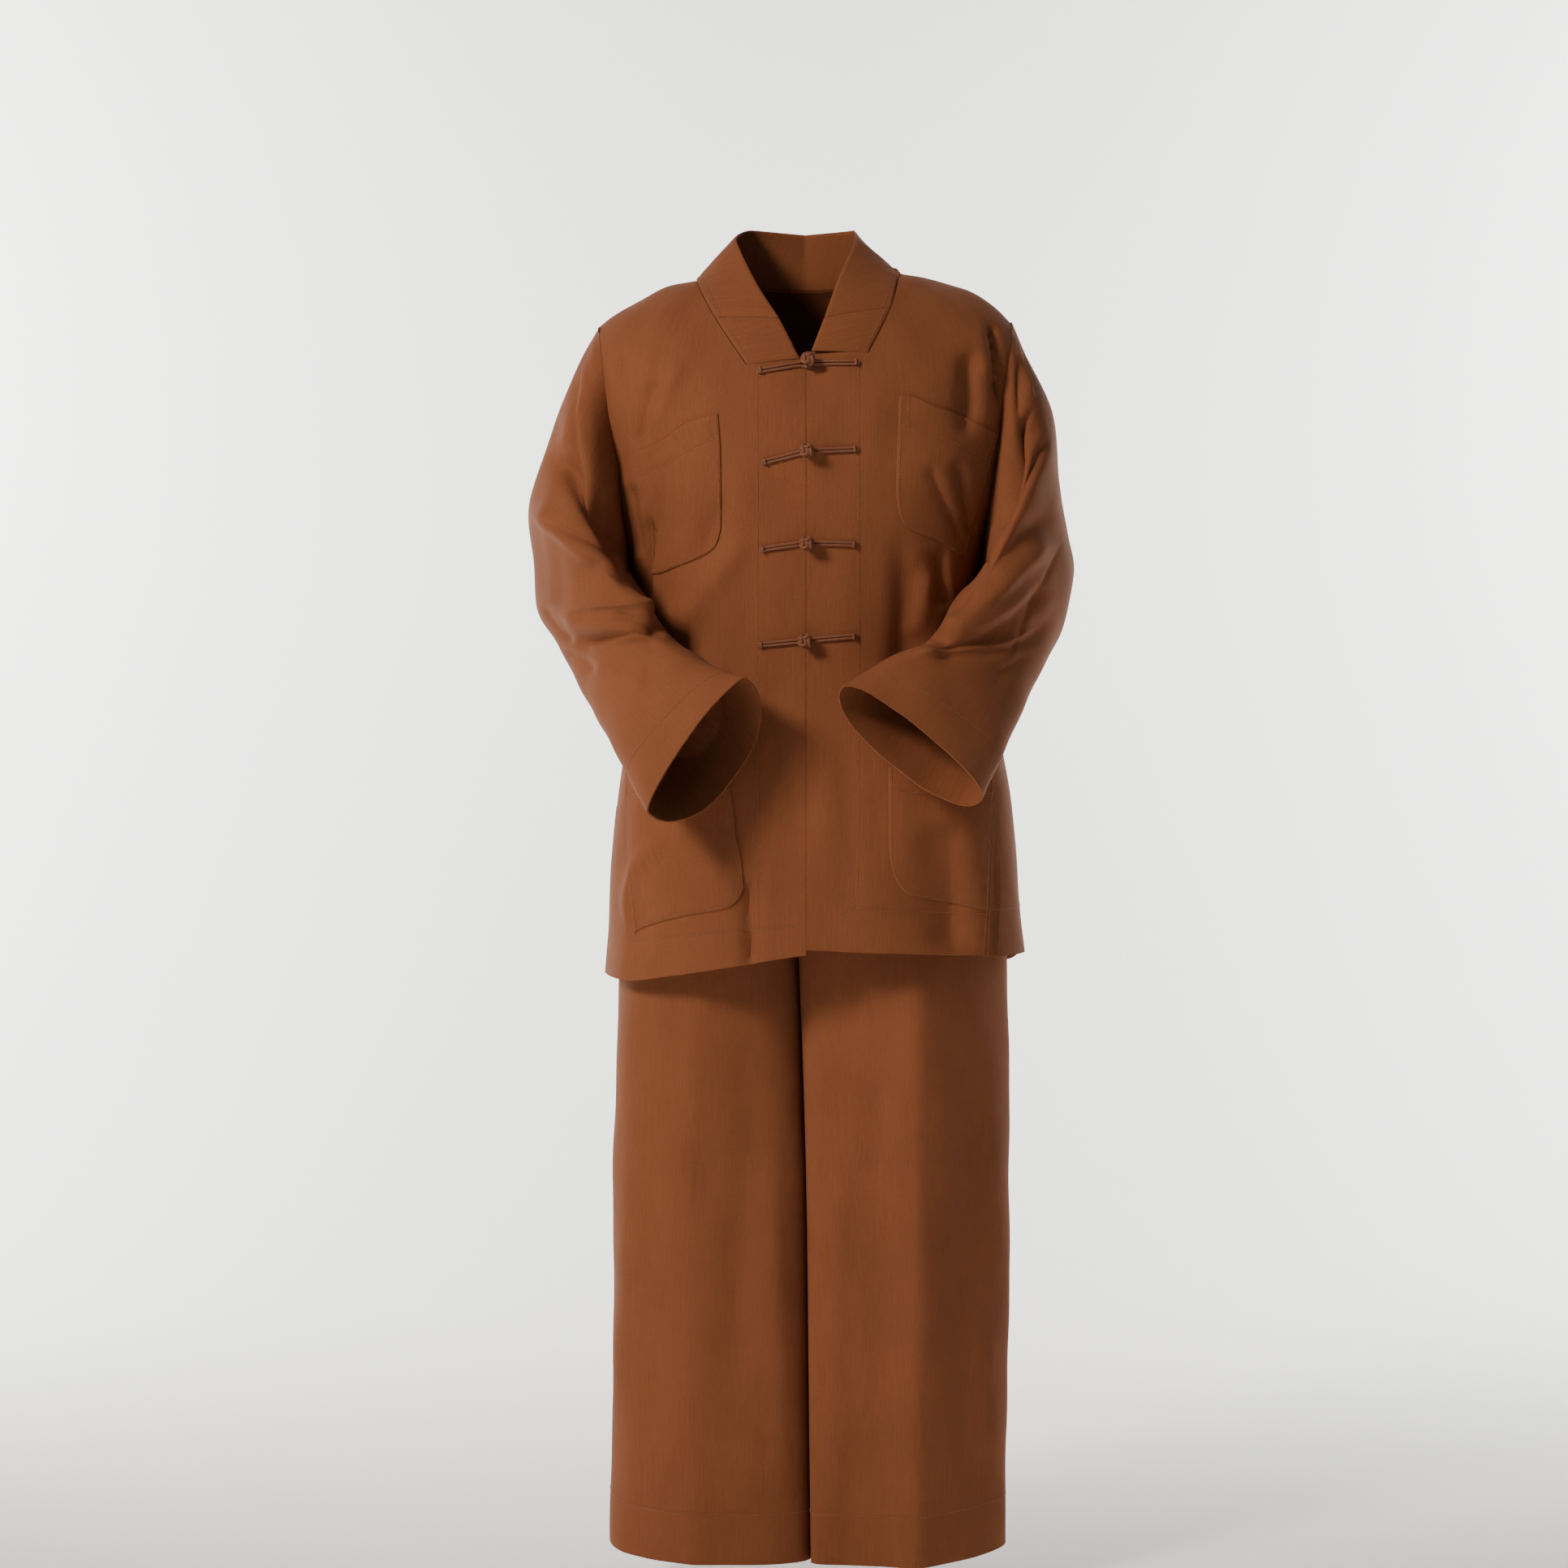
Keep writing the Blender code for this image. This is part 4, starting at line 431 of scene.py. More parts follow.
# Patch pockets, as the camera sees them: top, bottom, left and right borders as lines (x, z) on the
# upright plane through the origin, with depth of the top hem, fullness, and how far the top gapes
POCKET_EDGES = {
    "chest_pocket_left": {
        "front": "front_left", "hem": 0.0265, "fullness": 0.0022, "gape": 0.0016,
        "boxed": True,
        "borders": (
            ((-0.2020, -0.2083), (-0.1956, -0.2029), (-0.1634, -0.1882), (-0.1295, -0.1654),
             (-0.0983, -0.1563)),
            ((-0.1729, -0.3384), (-0.1637, -0.3375), (-0.1499, -0.3320), (-0.1269, -0.3228),
             (-0.1085, -0.3137), (-0.1012, -0.3063), (-0.0975, -0.2962)),
            ((-0.2020, -0.2083), (-0.1911, -0.2358), (-0.1819, -0.2568), (-0.1746, -0.2862),
             (-0.1729, -0.3384)),
            ((-0.0983, -0.1563), (-0.0956, -0.1974), (-0.0947, -0.2834), (-0.0975, -0.2962)),
        ),
    },
    "chest_pocket_right": {
        "front": "front_right", "hem": 0.0310, "fullness": 0.0022, "gape": 0.0016,
        "boxed": True,
        "borders": (
            ((0.1062, -0.1371), (0.1153, -0.1362), (0.1456, -0.1480), (0.1768, -0.1599),
             (0.2182, -0.1791)),
            ((0.1092, -0.2761), (0.1156, -0.2852), (0.1276, -0.2926), (0.1506, -0.3008),
             (0.1625, -0.3100), (0.1800, -0.3192)),
            ((0.1062, -0.1371), (0.1044, -0.1818), (0.1027, -0.2404), (0.1055, -0.2660),
             (0.1092, -0.2761)),
            ((0.2182, -0.1791), (0.2091, -0.2093), (0.2000, -0.2449), (0.1927, -0.2706),
             (0.1800, -0.3192)),
        ),
    },
    "lower_pocket_left": {
        "front": "front_left", "hem": 0.0300, "fullness": 0.0028, "gape": 0.0010,
        "boxed": False,
        "borders": (
            ((-0.2035, -0.5535), (-0.0882, -0.5557)),
            ((-0.1941, -0.7464), (-0.1867, -0.7417), (-0.1404, -0.7278), (-0.0850, -0.7167),
             (-0.0739, -0.7046), (-0.0702, -0.6926)),
            ((-0.2035, -0.5535), (-0.2031, -0.6537), (-0.1941, -0.7464)),
            ((-0.0882, -0.5557), (-0.0821, -0.5926), (-0.0775, -0.6342), (-0.0711, -0.6703),
             (-0.0702, -0.6926)),
        ),
    },
    "lower_pocket_right": {
        "front": "front_right", "hem": 0.0300, "fullness": 0.0028, "gape": 0.0010,
        "boxed": False,
        "borders": (
            ((0.0946, -0.5557), (0.2142, -0.5532)),
            ((0.1016, -0.6815), (0.1053, -0.6889), (0.1118, -0.6981), (0.1201, -0.7046),
             (0.1442, -0.7083), (0.1719, -0.7139), (0.2079, -0.7213)),
            ((0.0946, -0.5557), (0.0960, -0.6611), (0.0988, -0.6722), (0.1016, -0.6815)),
            ((0.2142, -0.5532), (0.2096, -0.6537), (0.2079, -0.7213)),
        ),
    },
}

# Stitching that the front shows, as the camera sees it
SEEN_STITCHES = {
    "front_left": (
        ((-0.0538, -0.1088), (-0.0539, -0.3311), (-0.0540, -0.7371)),
        ((-0.2006, -0.7557), (-0.1220, -0.7482), (-0.0388, -0.7408), (-0.0037, -0.7371)),
    ),
    "front_right": (
        ((0.0603, -0.0997), (0.0607, -0.4230), (0.0600, -0.6815), (0.0536, -0.7185),
         (0.0370, -0.7343)),
        ((0.0518, -0.7176), (0.1275, -0.7213), (0.2080, -0.7241)),
    ),
}

# Folds and waves die out over this share of a leg panel beside its inner edge
LEG_CALM = 0.10

# Seams, hems and pockets: steps, turned edges, dents along stitching, and how far in it runs
EVEN_SHARE = 0.35
CROWDED_SHARE = 0.65
POCKET_STEPS = 60
POCKET_EDGE = 0.0016
POCKET_SWELL = 0.8
POCKET_THINNEST = 0.0002
GAPE_REACH = 0.010
HEM_DENT = 0.0005
HEM_DENT_WIDTH = 0.0025
HEM_DENT_FADE = 0.3
BAR_INSET = 0.0075
EDGE_STITCH = 0.0030
STITCH_LIFT = 0.0003
SIGHT_STEP = 0.003
TRIM_SHARE = 0.8
HEM_STITCH = 0.052
SIDE_STITCHES = (0.006, 0.011)
CUFF_HEM = 0.045
TROUSER_STITCH = 0.058
COLLAR_EDGE = 0.0022
COLLAR_END_EDGE = 0.7
COLLAR_TURN = 0.45
COLLAR_THINNEST = 0.55
COLLAR_STITCH = 0.008
COLLAR_STITCH_ROW = 3
END_STITCH_SHARE = 0.6
SEAM_DENT = 0.0004
SEAM_DENT_WIDTH = 0.0025
SHARP_DEGREES = 50

# Knotted balls: radius, wound cord, its swing to both sides, and how far it weaves over and under
TURK_RADIUS = 0.0068
TURK_CORD = 0.0017
TURK_SWING = 0.95
TURK_OVER = 0.10
TURK_FLAT = 0.80
TURK_STEPS = 160
TURK_SWINGS = 4
TURK_TURNS = 3
TURK_FILLER = 0.93

# Folded outer end of each strip: its place, half width in cord pitches, and its height
FROG_TAB = 0.0030
FROG_TAB_STEPS = 7
FROG_TAB_HALF = 1.9
FROG_TAB_RISE = 0.9
FROG_TAB_ARCH = 0.25

# Cloth's look: slubs as width, length and detail, and the weave's spacing as drawn
SLUBS = ((0.0022, 0.070, 2.0), (0.0011, 0.028, 2.0))
WEAVE = 0.0014

# Studio
STAGE_HALF = 5.0
STAGE_BACK = 1.6
STAGE_BEND = 1.2
STAGE_STEPS = 13
STAGE_COLOUR = "#F4F3F1"
LIGHTS = (
    ("Key", (-2.8, -2.7, 1.8), (0.0, 0.0, -0.5), 0.9, 176.0, "#FFF7EE"),
    ("Fill", (2.6, -3.4, 0.6), (0.0, 0.0, -0.6), 2.4, 2.0, "#F4F7FF"),
    ("Backdrop left", (-2.6, 1.0, 0.3), (-2.0, 3.2, -0.2), 1.4, 230.0, "#FFFFFF"),
    ("Backdrop right", (2.6, 1.0, 0.3), (2.0, 3.2, -0.2), 1.4, 230.0, "#FFFFFF"),
)
AIR_COLOUR = "#F4F6F8"
AIR_STRENGTH = 0.20
AIR_SEEN = 0.80
SIDES = {"left": -1, "right": 1}


def cubic(xs, ys, at):
    """Monotone cubic curve through the points (xs, ys), read at `at`."""
    xs = np.asarray(xs, float)
    ys = np.asarray(ys, float)
    if xs[0] > xs[-1]:
        xs, ys = xs[::-1], ys[::-1]
    at = np.clip(np.asarray(at, float), xs[0], xs[-1])
    step = np.diff(xs)
    rise = np.diff(ys) / step
    slope = np.zeros_like(ys)
    slope[0], slope[-1] = rise[0], rise[-1]
    same = rise[:-1] * rise[1:] > 0
    weight_a = 2 * step[1:] + step[:-1]
    weight_b = step[1:] + 2 * step[:-1]
    with np.errstate(divide="ignore", invalid="ignore"):
        mean = (weight_a + weight_b) / (weight_a / rise[:-1] + weight_b / rise[1:])
    slope[1:-1] = np.where(same, mean, 0.0)
    k = np.clip(np.searchsorted(xs, at, side="right") - 1, 0, len(step) - 1)
    t = (at - xs[k]) / step[k]
    return (ys[k] * (1 + 2 * t) * (1 - t) ** 2 + slope[k] * step[k] * t * (1 - t) ** 2
            + ys[k + 1] * t * t * (3 - 2 * t) + slope[k + 1] * step[k] * t * t * (t - 1))


def read(table, names, name, at):
    """Column `name` of a table, along its first column."""
    return cubic([row[0] for row in table], [row[names.index(name)] for row in table], at)


def smoothstep(t):
    """Share from 0 to 1 that starts and ends level."""
    t = np.clip(t, 0.0, 1.0)
    return t * t * (3 - 2 * t)


def power(value, exponent):
    """Signed power, for superellipse sections."""
    return np.sign(value) * np.abs(value) ** exponent


def ridge(x):
    """Height of the shoulder line over x."""
    return np.where(np.asarray(x) < 0, read(RIDGE, RIDGE_COLUMNS, "left", np.abs(x)),
                    read(RIDGE, RIDGE_COLUMNS, "right", np.abs(x)))


def fullness(x, z, rounding):
    """Share of the body's depth reached at (x, z) below the shoulder line."""
    reach = read(RIDGE, RIDGE_COLUMNS, "reach", np.abs(x))
    drop = np.clip((ridge(x) - z) / reach, 0.0, 1.0)
    return (1 - (1 - drop) ** rounding) ** (1 / rounding)


def body(side, turn, z):
    """Outer cloth of the jacket at a turn in degrees from the centre front, and a height."""
    half = read(BODY, BODY_COLUMNS, side, z)
    angle = np.radians(turn)
    x = SIDES[side] * half * power(np.sin(angle), 2 / SQUARENESS)
    ahead = np.cos(angle) > 0
    depth = np.where(ahead, read(BODY, BODY_COLUMNS, "front", z),
                     read(BODY, BODY_COLUMNS, "back", z))
    share = np.where(ahead, fullness(x, z, FRONT_ROUNDING), fullness(x, z, BACK_ROUNDING))
    y = read(BODY, BODY_COLUMNS, "middle", z) - depth * share * power(np.cos(angle), 2 / SQUARENESS)
    return np.stack([x, y, np.broadcast_to(z, x.shape)], axis=-1)


def tip_height(side):
    """Height of a shoulder tip, on the shoulder ridge."""
    return float(ridge(SIDES[side] * SHOULDER_TIP))


def turn_at(side, x, z):
    """Turn from the centre front at which the section at z reaches x, on the front."""
    half = read(BODY, BODY_COLUMNS, side, z)
    return np.degrees(np.arcsin(np.clip(np.abs(x) / half, 0, 1) ** (SQUARENESS / 2)))


def armhole(side, t):
    """Armhole edge (x, z) from the shoulder tip, t = 0, to the underarm, t = 1; it is flat."""
    top = tip_height(side)
    return SHOULDER_TIP + (UNDERARM[0] - SHOULDER_TIP) * t, top + (UNDERARM[1] - top) * t


def unit(vectors):
    """Vectors brought to length 1."""
    return vectors / np.linalg.norm(vectors, axis=-1, keepdims=True)


def run_over(grid, axis):
    """Length over a grid of points, from its first row (axis 0) or column (axis 1) to each point."""
    run = np.cumsum(np.linalg.norm(np.diff(grid, axis=axis), axis=-1), axis=axis)
    return np.concatenate([np.zeros_like(run.take([0], axis)), run], axis=axis)


def lengths(points):
    """Length along a line of points, from its start to each point."""
    return np.concatenate([[0.0], np.cumsum(np.linalg.norm(np.diff(points, axis=0), axis=1))])


def along(side, points, steps):
    """(x, z) at even steps over the jacket along a smooth line through a few points."""
    points = np.array(points)
    length = lengths(points)
    at = np.linspace(0, length[-1], FINE_STEPS)
    return evenly(side, cubic(length, points[:, 0], at), cubic(length, points[:, 1], at), steps)


def evenly(side, x, z, steps):
    """A finely stepped line over the jacket taken at even steps of its true length."""
    length = lengths(body(side, turn_at(side, x, z), z))
    at = np.linspace(0, length[-1], steps + 1)
    return np.interp(at, length, x), np.interp(at, length, z)


def top_edge(side, armhole_steps, with_foot):
    """Upper edge of a front or half back, as x, z and hem turn, and its shoulder's columns."""
    xs, zs, hems = [], [], []

    def add(x, z, first, last):
        skip = 1 if xs else 0
        share = np.linspace(first, last, len(x))
        xs.extend(x[skip:])
        zs.extend(z[skip:])
        hems.extend(share[skip:])

    neckline = NECKLINE[side]
    if with_foot:
        add(*along(side, (FOOT_INNER[side], neckline[0]), FOOT_STEPS), HEM_TURNS[0], HEM_TURNS[1])
        add(*along(side, neckline, NECK_STEPS), HEM_TURNS[1], HEM_TURNS[2])
    else:
        add(*along(side, BACK_NECKLINE[::-1] + neckline[-1:], NECK_STEPS), HEM_TURNS[0], HEM_TURNS[2])
    first = len(xs) - 1
    shoulder = np.linspace(neckline[-1][0], SHOULDER_TIP, SHOULDER_STEPS + 1)
    add(shoulder, ridge(SIDES[side] * shoulder), HEM_TURNS[2], HEM_TURNS[3])
    last = len(xs) - 1
    fine = armhole(side, np.linspace(0, 1, FINE_STEPS))
    add(*evenly(side, *fine, armhole_steps), HEM_TURNS[3], HEM_TURNS[4])
    return np.array(xs), np.array(zs), np.array(hems), (first, last)


def folded(piece, skin, normals, face_of):
    """The skin moved along its normals by the folds of a piece."""
    x, z = skin[..., 0], skin[..., 2]
    lift = np.zeros_like(x)
    for owner, centre, radius, height in UNDERARM_FILLS:
        if owner == piece:
            apart = np.linalg.norm(skin - np.array(centre), axis=-1)
            lift += height * np.exp(-(apart / radius) ** 2)
    for row in FOLDS + FINE_FOLDS:
        fold = dict(zip(FOLD_COLUMNS, row))
        if fold["piece"] != piece:
            continue
        run = np.array([fold["x1"] - fold["x0"], fold["z1"] - fold["z0"]])
        length = np.linalg.norm(run)
        run /= length
        t = ((x - fold["x0"]) * run[0] + (z - fold["z0"]) * run[1]) / length
        across = run[0] * (z - fold["z0"]) - run[1] * (x - fold["x0"]) - fold["bow"] * 4 * t * (1 - t)
        width = np.where(across > 0, fold["left"], fold["right"])
        ends = smoothstep(t / fold["fade"]) * smoothstep((1 - t) / fold["fade"])
        facing = smoothstep(fold["face"] * face_of[..., 1] / FOLD_FACING)
        lift += fold["height"] * np.exp(-(across / width) ** 2) * ends * facing
    lift = lift + creases(piece, skin, normals) * settings().crease_depth
    lift = lift + ripples(skin) * settings().ripple_height
    return skin + normals * lift[..., None]


def grid_normals(grid, away):
    """Unit normals of a grid of points with one spare row and column all round."""
    down = grid[2:, 1:-1] - grid[:-2, 1:-1]
    over = grid[1:-1, 2:] - grid[1:-1, :-2]
    normal = np.cross(down, over)
    normal /= np.maximum(np.linalg.norm(normal, axis=-1, keepdims=True), 1e-12)
    side = np.sum(normal * away, axis=-1)
    return normal if np.sum(side) > 0 else -normal


def spread(values, spare):
    """A grid of values continued by reflection past its four edges."""
    for _axis in range(2):
        first, last = values[:, :1], values[:, -1:]
        head = 2 * first - values[:, spare:0:-1]
        tail = 2 * last - values[:, -2:-2 - spare:-1]
        values = np.concatenate([head, values, tail], axis=1).T
    return values


def body_panel(side, turn, z, shoulder):
    """Skin and normals of a jacket panel from its grid of turns and heights."""
    spare = 2
    wide = body(side, spread(turn, spare), spread(z, spare))
    middle = read(BODY, BODY_COLUMNS, "middle", wide[..., 2])
    columns = np.arange(wide.shape[1]) - spare
    at_shoulder = (columns >= shoulder[0]) & (columns <= shoulder[1])
    for k in range(1, spare + 1):
        above, below = spare - k, spare + k
        mirrored = wide[below].copy()
        mirrored[:, 1] = 2 * middle[below] - mirrored[:, 1]
        onward = 2 * wide[spare] - wide[below]
        wide[above] = np.where(at_shoulder[:, None], mirrored, onward)
    away = wide[1:-1, 1:-1] * np.array([1.0, 1.0, 0.0])
    normals = grid_normals(wide, away)
    moved = folded("body", wide[1:-1, 1:-1], normals, normals)
    skin, final = moved[1:-1, 1:-1], grid_normals(moved, away[1:-1, 1:-1])
    final[0, shoulder[1]:] = armhole_normals(side, skin[0, shoulder[1]:], final[0, shoulder[1]:])
    return skin, final


def armhole_normals(side, edge, normals):
    """Normals along an armhole edge: in its plane below the shoulder tip, the cloth's at the ends."""
    plane = armhole_plane(side)
    square = np.cross(np.gradient(edge, axis=0), plane)
    square = unit(square)
    middle = (edge[0] + edge[-1]) / 2
    square *= np.sign(np.sum(square * (edge - middle), axis=-1, keepdims=True))
    share = np.linspace(0, 1, len(edge))[:, None]
    mixed = square * (1 - share) + normals * share
    mixed -= plane * np.minimum(mixed @ plane, 0.0)[:, None]
    mixed = unit(mixed)
    mixed[0], mixed[-1] = normals[0], normals[-1]
    return mixed


def side_seam(side, z):
    """Turn of the side seam from the centre front at z, in degrees."""
    return read(SIDE_SEAM, SIDE_SEAM_COLUMNS, side, z)


def vent(side, z):
    """How far each vent edge turns away from the seam, in degrees."""
    return VENT_TURN[side] * smoothstep((VENT_TOP - z) / VENT_TURN_RUN)


def rows_down(top, hem, rows):
    """Heights of a panel's rows, from its top edge down to its hem."""
    share = (np.arange(rows + 1) / rows) ** ROW_SPREAD
    return top[None, :] + (hem - top)[None, :] * share[:, None]


def front_panel(side):
    """Grid of a front, from its centre edge to its side seam, and its armhole columns."""
    x, z_top, hems, shoulder = top_edge(side, ARMHOLE_STEPS, True)
    hem_share = side_seam(side, HEM[3][HEM_COLUMNS.index(side)]) / 90
    z_hem = read(HEM, HEM_COLUMNS, side, hems * hem_share)
    z = rows_down(z_top, z_hem, BODY_ROWS)
    start = turn_at(side, x, z_top)
    share = (z_top[None, :] - z) / (z_top - z_hem)[None, :]
    turn = start[None, :] + (hems - start)[None, :] * share
    turn = turn * (side_seam(side, z) - vent(side, z)) / 90
    skin, normals = body_panel(side, turn, z, shoulder)
    return skin + np.array([SIDES[side] * SEAM / 2, -SEAM / 2, 0.0]), normals, shoulder


def half_back(side):
    """Turn and height grids of half the back, from the centre back to the side seam."""
    x, z_top, hems, shoulder = top_edge(side, BACK_ARMHOLE_STEPS, False)
    seam = side_seam(side, HEM[3][HEM_COLUMNS.index(side)])
    z_hem = read(HEM, HEM_COLUMNS, side, 180 - hems * (180 - seam) / 90)
    z = rows_down(z_top, z_hem, BODY_ROWS)
    start = turn_at(side, x, z_top)
    share = (z_top[None, :] - z) / (z_top - z_hem)[None, :]
    turn = start[None, :] + (hems - start)[None, :] * share
    turn = turn * (180 - side_seam(side, z) - vent(side, z)) / 90
    return 180 - turn, z, shoulder


def back_panel():
    """Grid of the back, from the left side seam to the right one."""
    halves = []
    for side in ("left", "right"):
        turn, z, shoulder = half_back(side)
        skin, normals = body_panel(side, turn, z, shoulder)
        columns = turn.shape[1]
        edge = smoothstep((np.arange(columns) - columns + 1 + VENT_COLUMNS) / VENT_COLUMNS)
        open_share = smoothstep((VENT_TOP - z) / VENT_FLARE_RUN) * edge[None, :]
        if side == "right":
            skin = skin + normals * (VENT_FLARE * open_share)[..., None]
        halves.append((skin, normals))
    (left, left_normals), (right, right_normals) = halves
    middle = (left[:, :1] + right[:, :1]) / 2
    middle_normals = unit(left_normals[:, :1] + right_normals[:, :1])
    skin = np.concatenate([left[:, :0:-1], middle, right[:, 1:]], axis=1)
    normals = np.concatenate([left_normals[:, :0:-1], middle_normals, right_normals[:, 1:]], axis=1)
    return skin + np.array([0.0, SEAM / 2, 0.0]), normals, shoulder


def catmull(keys, at):
    """Smooth curve through key points, at fractions of their index."""
    keys = np.concatenate([2 * keys[:1] - keys[1:2], keys, 2 * keys[-1:] - keys[-2:-1]])
    k = np.minimum(np.floor(at).astype(int), len(keys) - 4)
    t = (at - k).reshape((-1,) + (1,) * (keys.ndim - 1))
    a, b, c, d = (keys[k + i] for i in range(4))
    return 0.5 * (2 * b + (c - a) * t + (2 * a - 5 * b + 4 * c - d) * t ** 2
                  + (3 * b - 3 * c + d - a) * t ** 3)


def armhole_ring(front, back, side, shoulder, back_shoulder):
    """The armhole's edge as a ring: down the front from the shoulder tip, then up the back."""
    down = front[0, shoulder[1]:]
    centre = back.shape[1] // 2
    columns = np.arange(centre + back_shoulder[1], back.shape[1])
    if side == "left":
        columns = 2 * centre - columns
    up = back[0, columns][::-1]
    return np.concatenate([(down[:1] + up[-1:]) / 2, down[1:-1], (down[-1:] + up[:1]) / 2, up[1:-1]])


def sleeve_panel(side, ring0):
    """Grid of a sleeve: rows from the armhole to the cuff, columns round it."""
    sign = SIDES[side]
    mirror = np.array([sign, 1.0, 1.0])
    phi = np.concatenate([np.pi * np.arange(ARMHOLE_STEPS) / ARMHOLE_STEPS,
                          np.pi + np.pi * np.arange(BACK_ARMHOLE_STEPS) / BACK_ARMHOLE_STEPS])
    arm = [dict(zip(SLEEVE_COLUMNS, row)) for row in SLEEVES[side]]
    outer = np.array([[row["outer_" + axis] for axis in "xyz"] for row in arm]) * mirror
    inner = np.array([[row["inner_" + axis] for axis in "xyz"] for row in arm]) * mirror
    middle = (outer + inner) / 2
    cuff_ahead = middle[-1] - middle[-3]
    keys = [ring0 + np.array([sign * LIE, 0.0, 0.0])]
    for number, (row, m, o) in enumerate(zip(arm, middle, outer)):
        square = np.cross(cuff_ahead, o - m)
        square /= np.linalg.norm(square) * np.sign(square[1])
        forearm = smoothstep((number - ELBOW_ROW) / (len(middle) - 1 - ELBOW_ROW))
        sideways = np.array([0.0, 1.0, 0.0]) * (1 - forearm) + square * forearm
        sideways /= np.linalg.norm(sideways)
        reach = np.where(phi < np.pi, -row["before"], row["behind"])
        reach = reach * np.abs(np.sin(phi)) ** SLEEVE_ROUND
        lengthwise = power(np.cos(phi), SLEEVE_ROUND)
        keys.append(m + lengthwise[:, None] * (o - m) + reach[:, None] * sideways)
    at = np.linspace(0, len(keys) - 1, SLEEVE_ROWS + 1)
    skin = catmull(np.array(keys), at)
    settled = smoothstep((at - SLEEVE_SETTLES[0]) / SLEEVE_SETTLES[1])[:, None]
    normals = ring_normals(skin)
    lifted = folded("sleeve_" + side, skin, normals, normals)
    skin = skin + (lifted - skin) * settled[..., None]
    skin = keep_off_body(side, skin, CLEAR_OF_BODY * settled)
    normals = ring_normals(skin)
    flat = normals[0] - armhole_plane(side) * (normals[0] @ armhole_plane(side))[:, None]
    normals[0] = unit(flat)
    return skin, normals


def armhole_plane(side):
    """Unit vector square to the flat armhole."""
    top_x, top_z = armhole(side, 0.0)
    low_x, low_z = armhole(side, 1.0)
    square = np.array([SIDES[side] * (top_z - low_z), 0.0, -(top_x - low_x)])
    return square / np.linalg.norm(square)


def ring_normals(skin):
    """Unit outward normals of a tube given as rows of rings."""
    before = 2 * skin[:1] - skin[1:2]
    after = 2 * skin[-1:] - skin[-2:-1]
    tall = np.concatenate([before, skin, after])
    wide = np.concatenate([tall[:, -1:], tall, tall[:, :1]], axis=1)
    away = skin - skin.mean(axis=1, keepdims=True)
    return grid_normals(wide, away)


def keep_off_body(side, skin, margin):
    """Points that would lie in the jacket's body are moved out level to just clear of it."""
    x, y, z = skin[..., 0], skin[..., 1], skin[..., 2]
    half = read(BODY, BODY_COLUMNS, side, z) + margin
    middle = read(BODY, BODY_COLUMNS, "middle", z)
    front = read(BODY, BODY_COLUMNS, "front", z) * fullness(x, z, FRONT_ROUNDING)
    back = read(BODY, BODY_COLUMNS, "back", z) * fullness(x, z, BACK_ROUNDING)
    depth = np.maximum(np.where(y < middle, front, back) + margin, THIN_DEPTH)
    top = tip_height(side)
    plane_x = SHOULDER_TIP + (UNDERARM[0] - SHOULDER_TIP) * (z - top) / (UNDERARM[1] - top)
    beside = (z > UNDERARM[1]) & (np.abs(x) > plane_x)
    size = np.abs(x / half) ** SQUARENESS + np.abs((y - middle) / depth) ** SQUARENESS
    size = size ** (1 / SQUARENESS)
    grow = np.where((size < 1) & ~beside & (margin > 0), 1 / np.maximum(size, MOST_GROWTH), 1.0)
    level = np.where(beside, np.maximum(np.abs(x), plane_x + margin * CLEAR_BESIDE), np.abs(x) * grow)
    return np.stack([np.sign(x) * level, middle + (y - middle) * grow, z], axis=-1)


def leg_point(side, share, z, sheer):
    """Outer cloth of a leg's front or back: share 0 to 1 from its inner to its outer edge."""
    sign = SIDES[side]
    facing = -1 if sheer == "front" else 1
    inner = read(LEG, LEG_COLUMNS, side + "_inner", z)
    outer = read(LEG, LEG_COLUMNS, side + "_outer", z)
    centre, half = (inner + outer) / 2, np.abs(outer - inner) / 2
    angle = np.pi * share
    ahead = np.sin(angle) * facing < 0
    middle = LEG_MIDDLE + (INSEAM_Y[side] - LEG_MIDDLE) * smoothstep(np.cos(angle))
    deep = np.where(ahead, read(LEG, LEG_COLUMNS, "front", z) + middle - LEG_MIDDLE,
                    read(LEG, LEG_COLUMNS, "back", z) - middle + LEG_MIDDLE)
    bend = np.where(ahead & (np.cos(angle) < 0), FRONT_OUTER_SQUARENESS[side], LEG_SQUARENESS)
    leg_x = centre - sign * half * power(np.cos(angle), 2 / bend)
    leg_y = middle + facing * deep * power(np.sin(angle), 2 / bend)
    crease_x, crease_height, crease_width = LEG_CREASE[side]
    sharp = crease_height * np.exp(-np.abs((leg_x - crease_x) / crease_width) ** LEG_CREASE_SHARP)
    below = smoothstep((LEG_CREASE_TOP - z) / LEG_CREASE_RUN)
    leg_y = leg_y + facing * sharp * below * smoothstep(np.sin(angle) / LEG_CREASE_TURN)
    hip = read(HIP, HIP_COLUMNS, side, z)
    hip_angle = np.pi / 2 * share
    hip_deep = np.where(np.cos(hip_angle) * facing < 0, read(HIP, HIP_COLUMNS, "front", z),
                        read(HIP, HIP_COLUMNS, "back", z))
    hip_x = sign * hip * power(np.sin(hip_angle), 2 / LEG_SQUARENESS)
    hip_y = LEG_MIDDLE + facing * hip_deep * power(np.cos(hip_angle), 2 / LEG_SQUARENESS)
    parted = smoothstep((CROTCH[0] - z) / (CROTCH[0] - CROTCH[1]))
    return np.stack([hip_x + (leg_x - hip_x) * parted, hip_y + (leg_y - hip_y) * parted,
                     np.broadcast_to(z, leg_x.shape)], axis=-1)


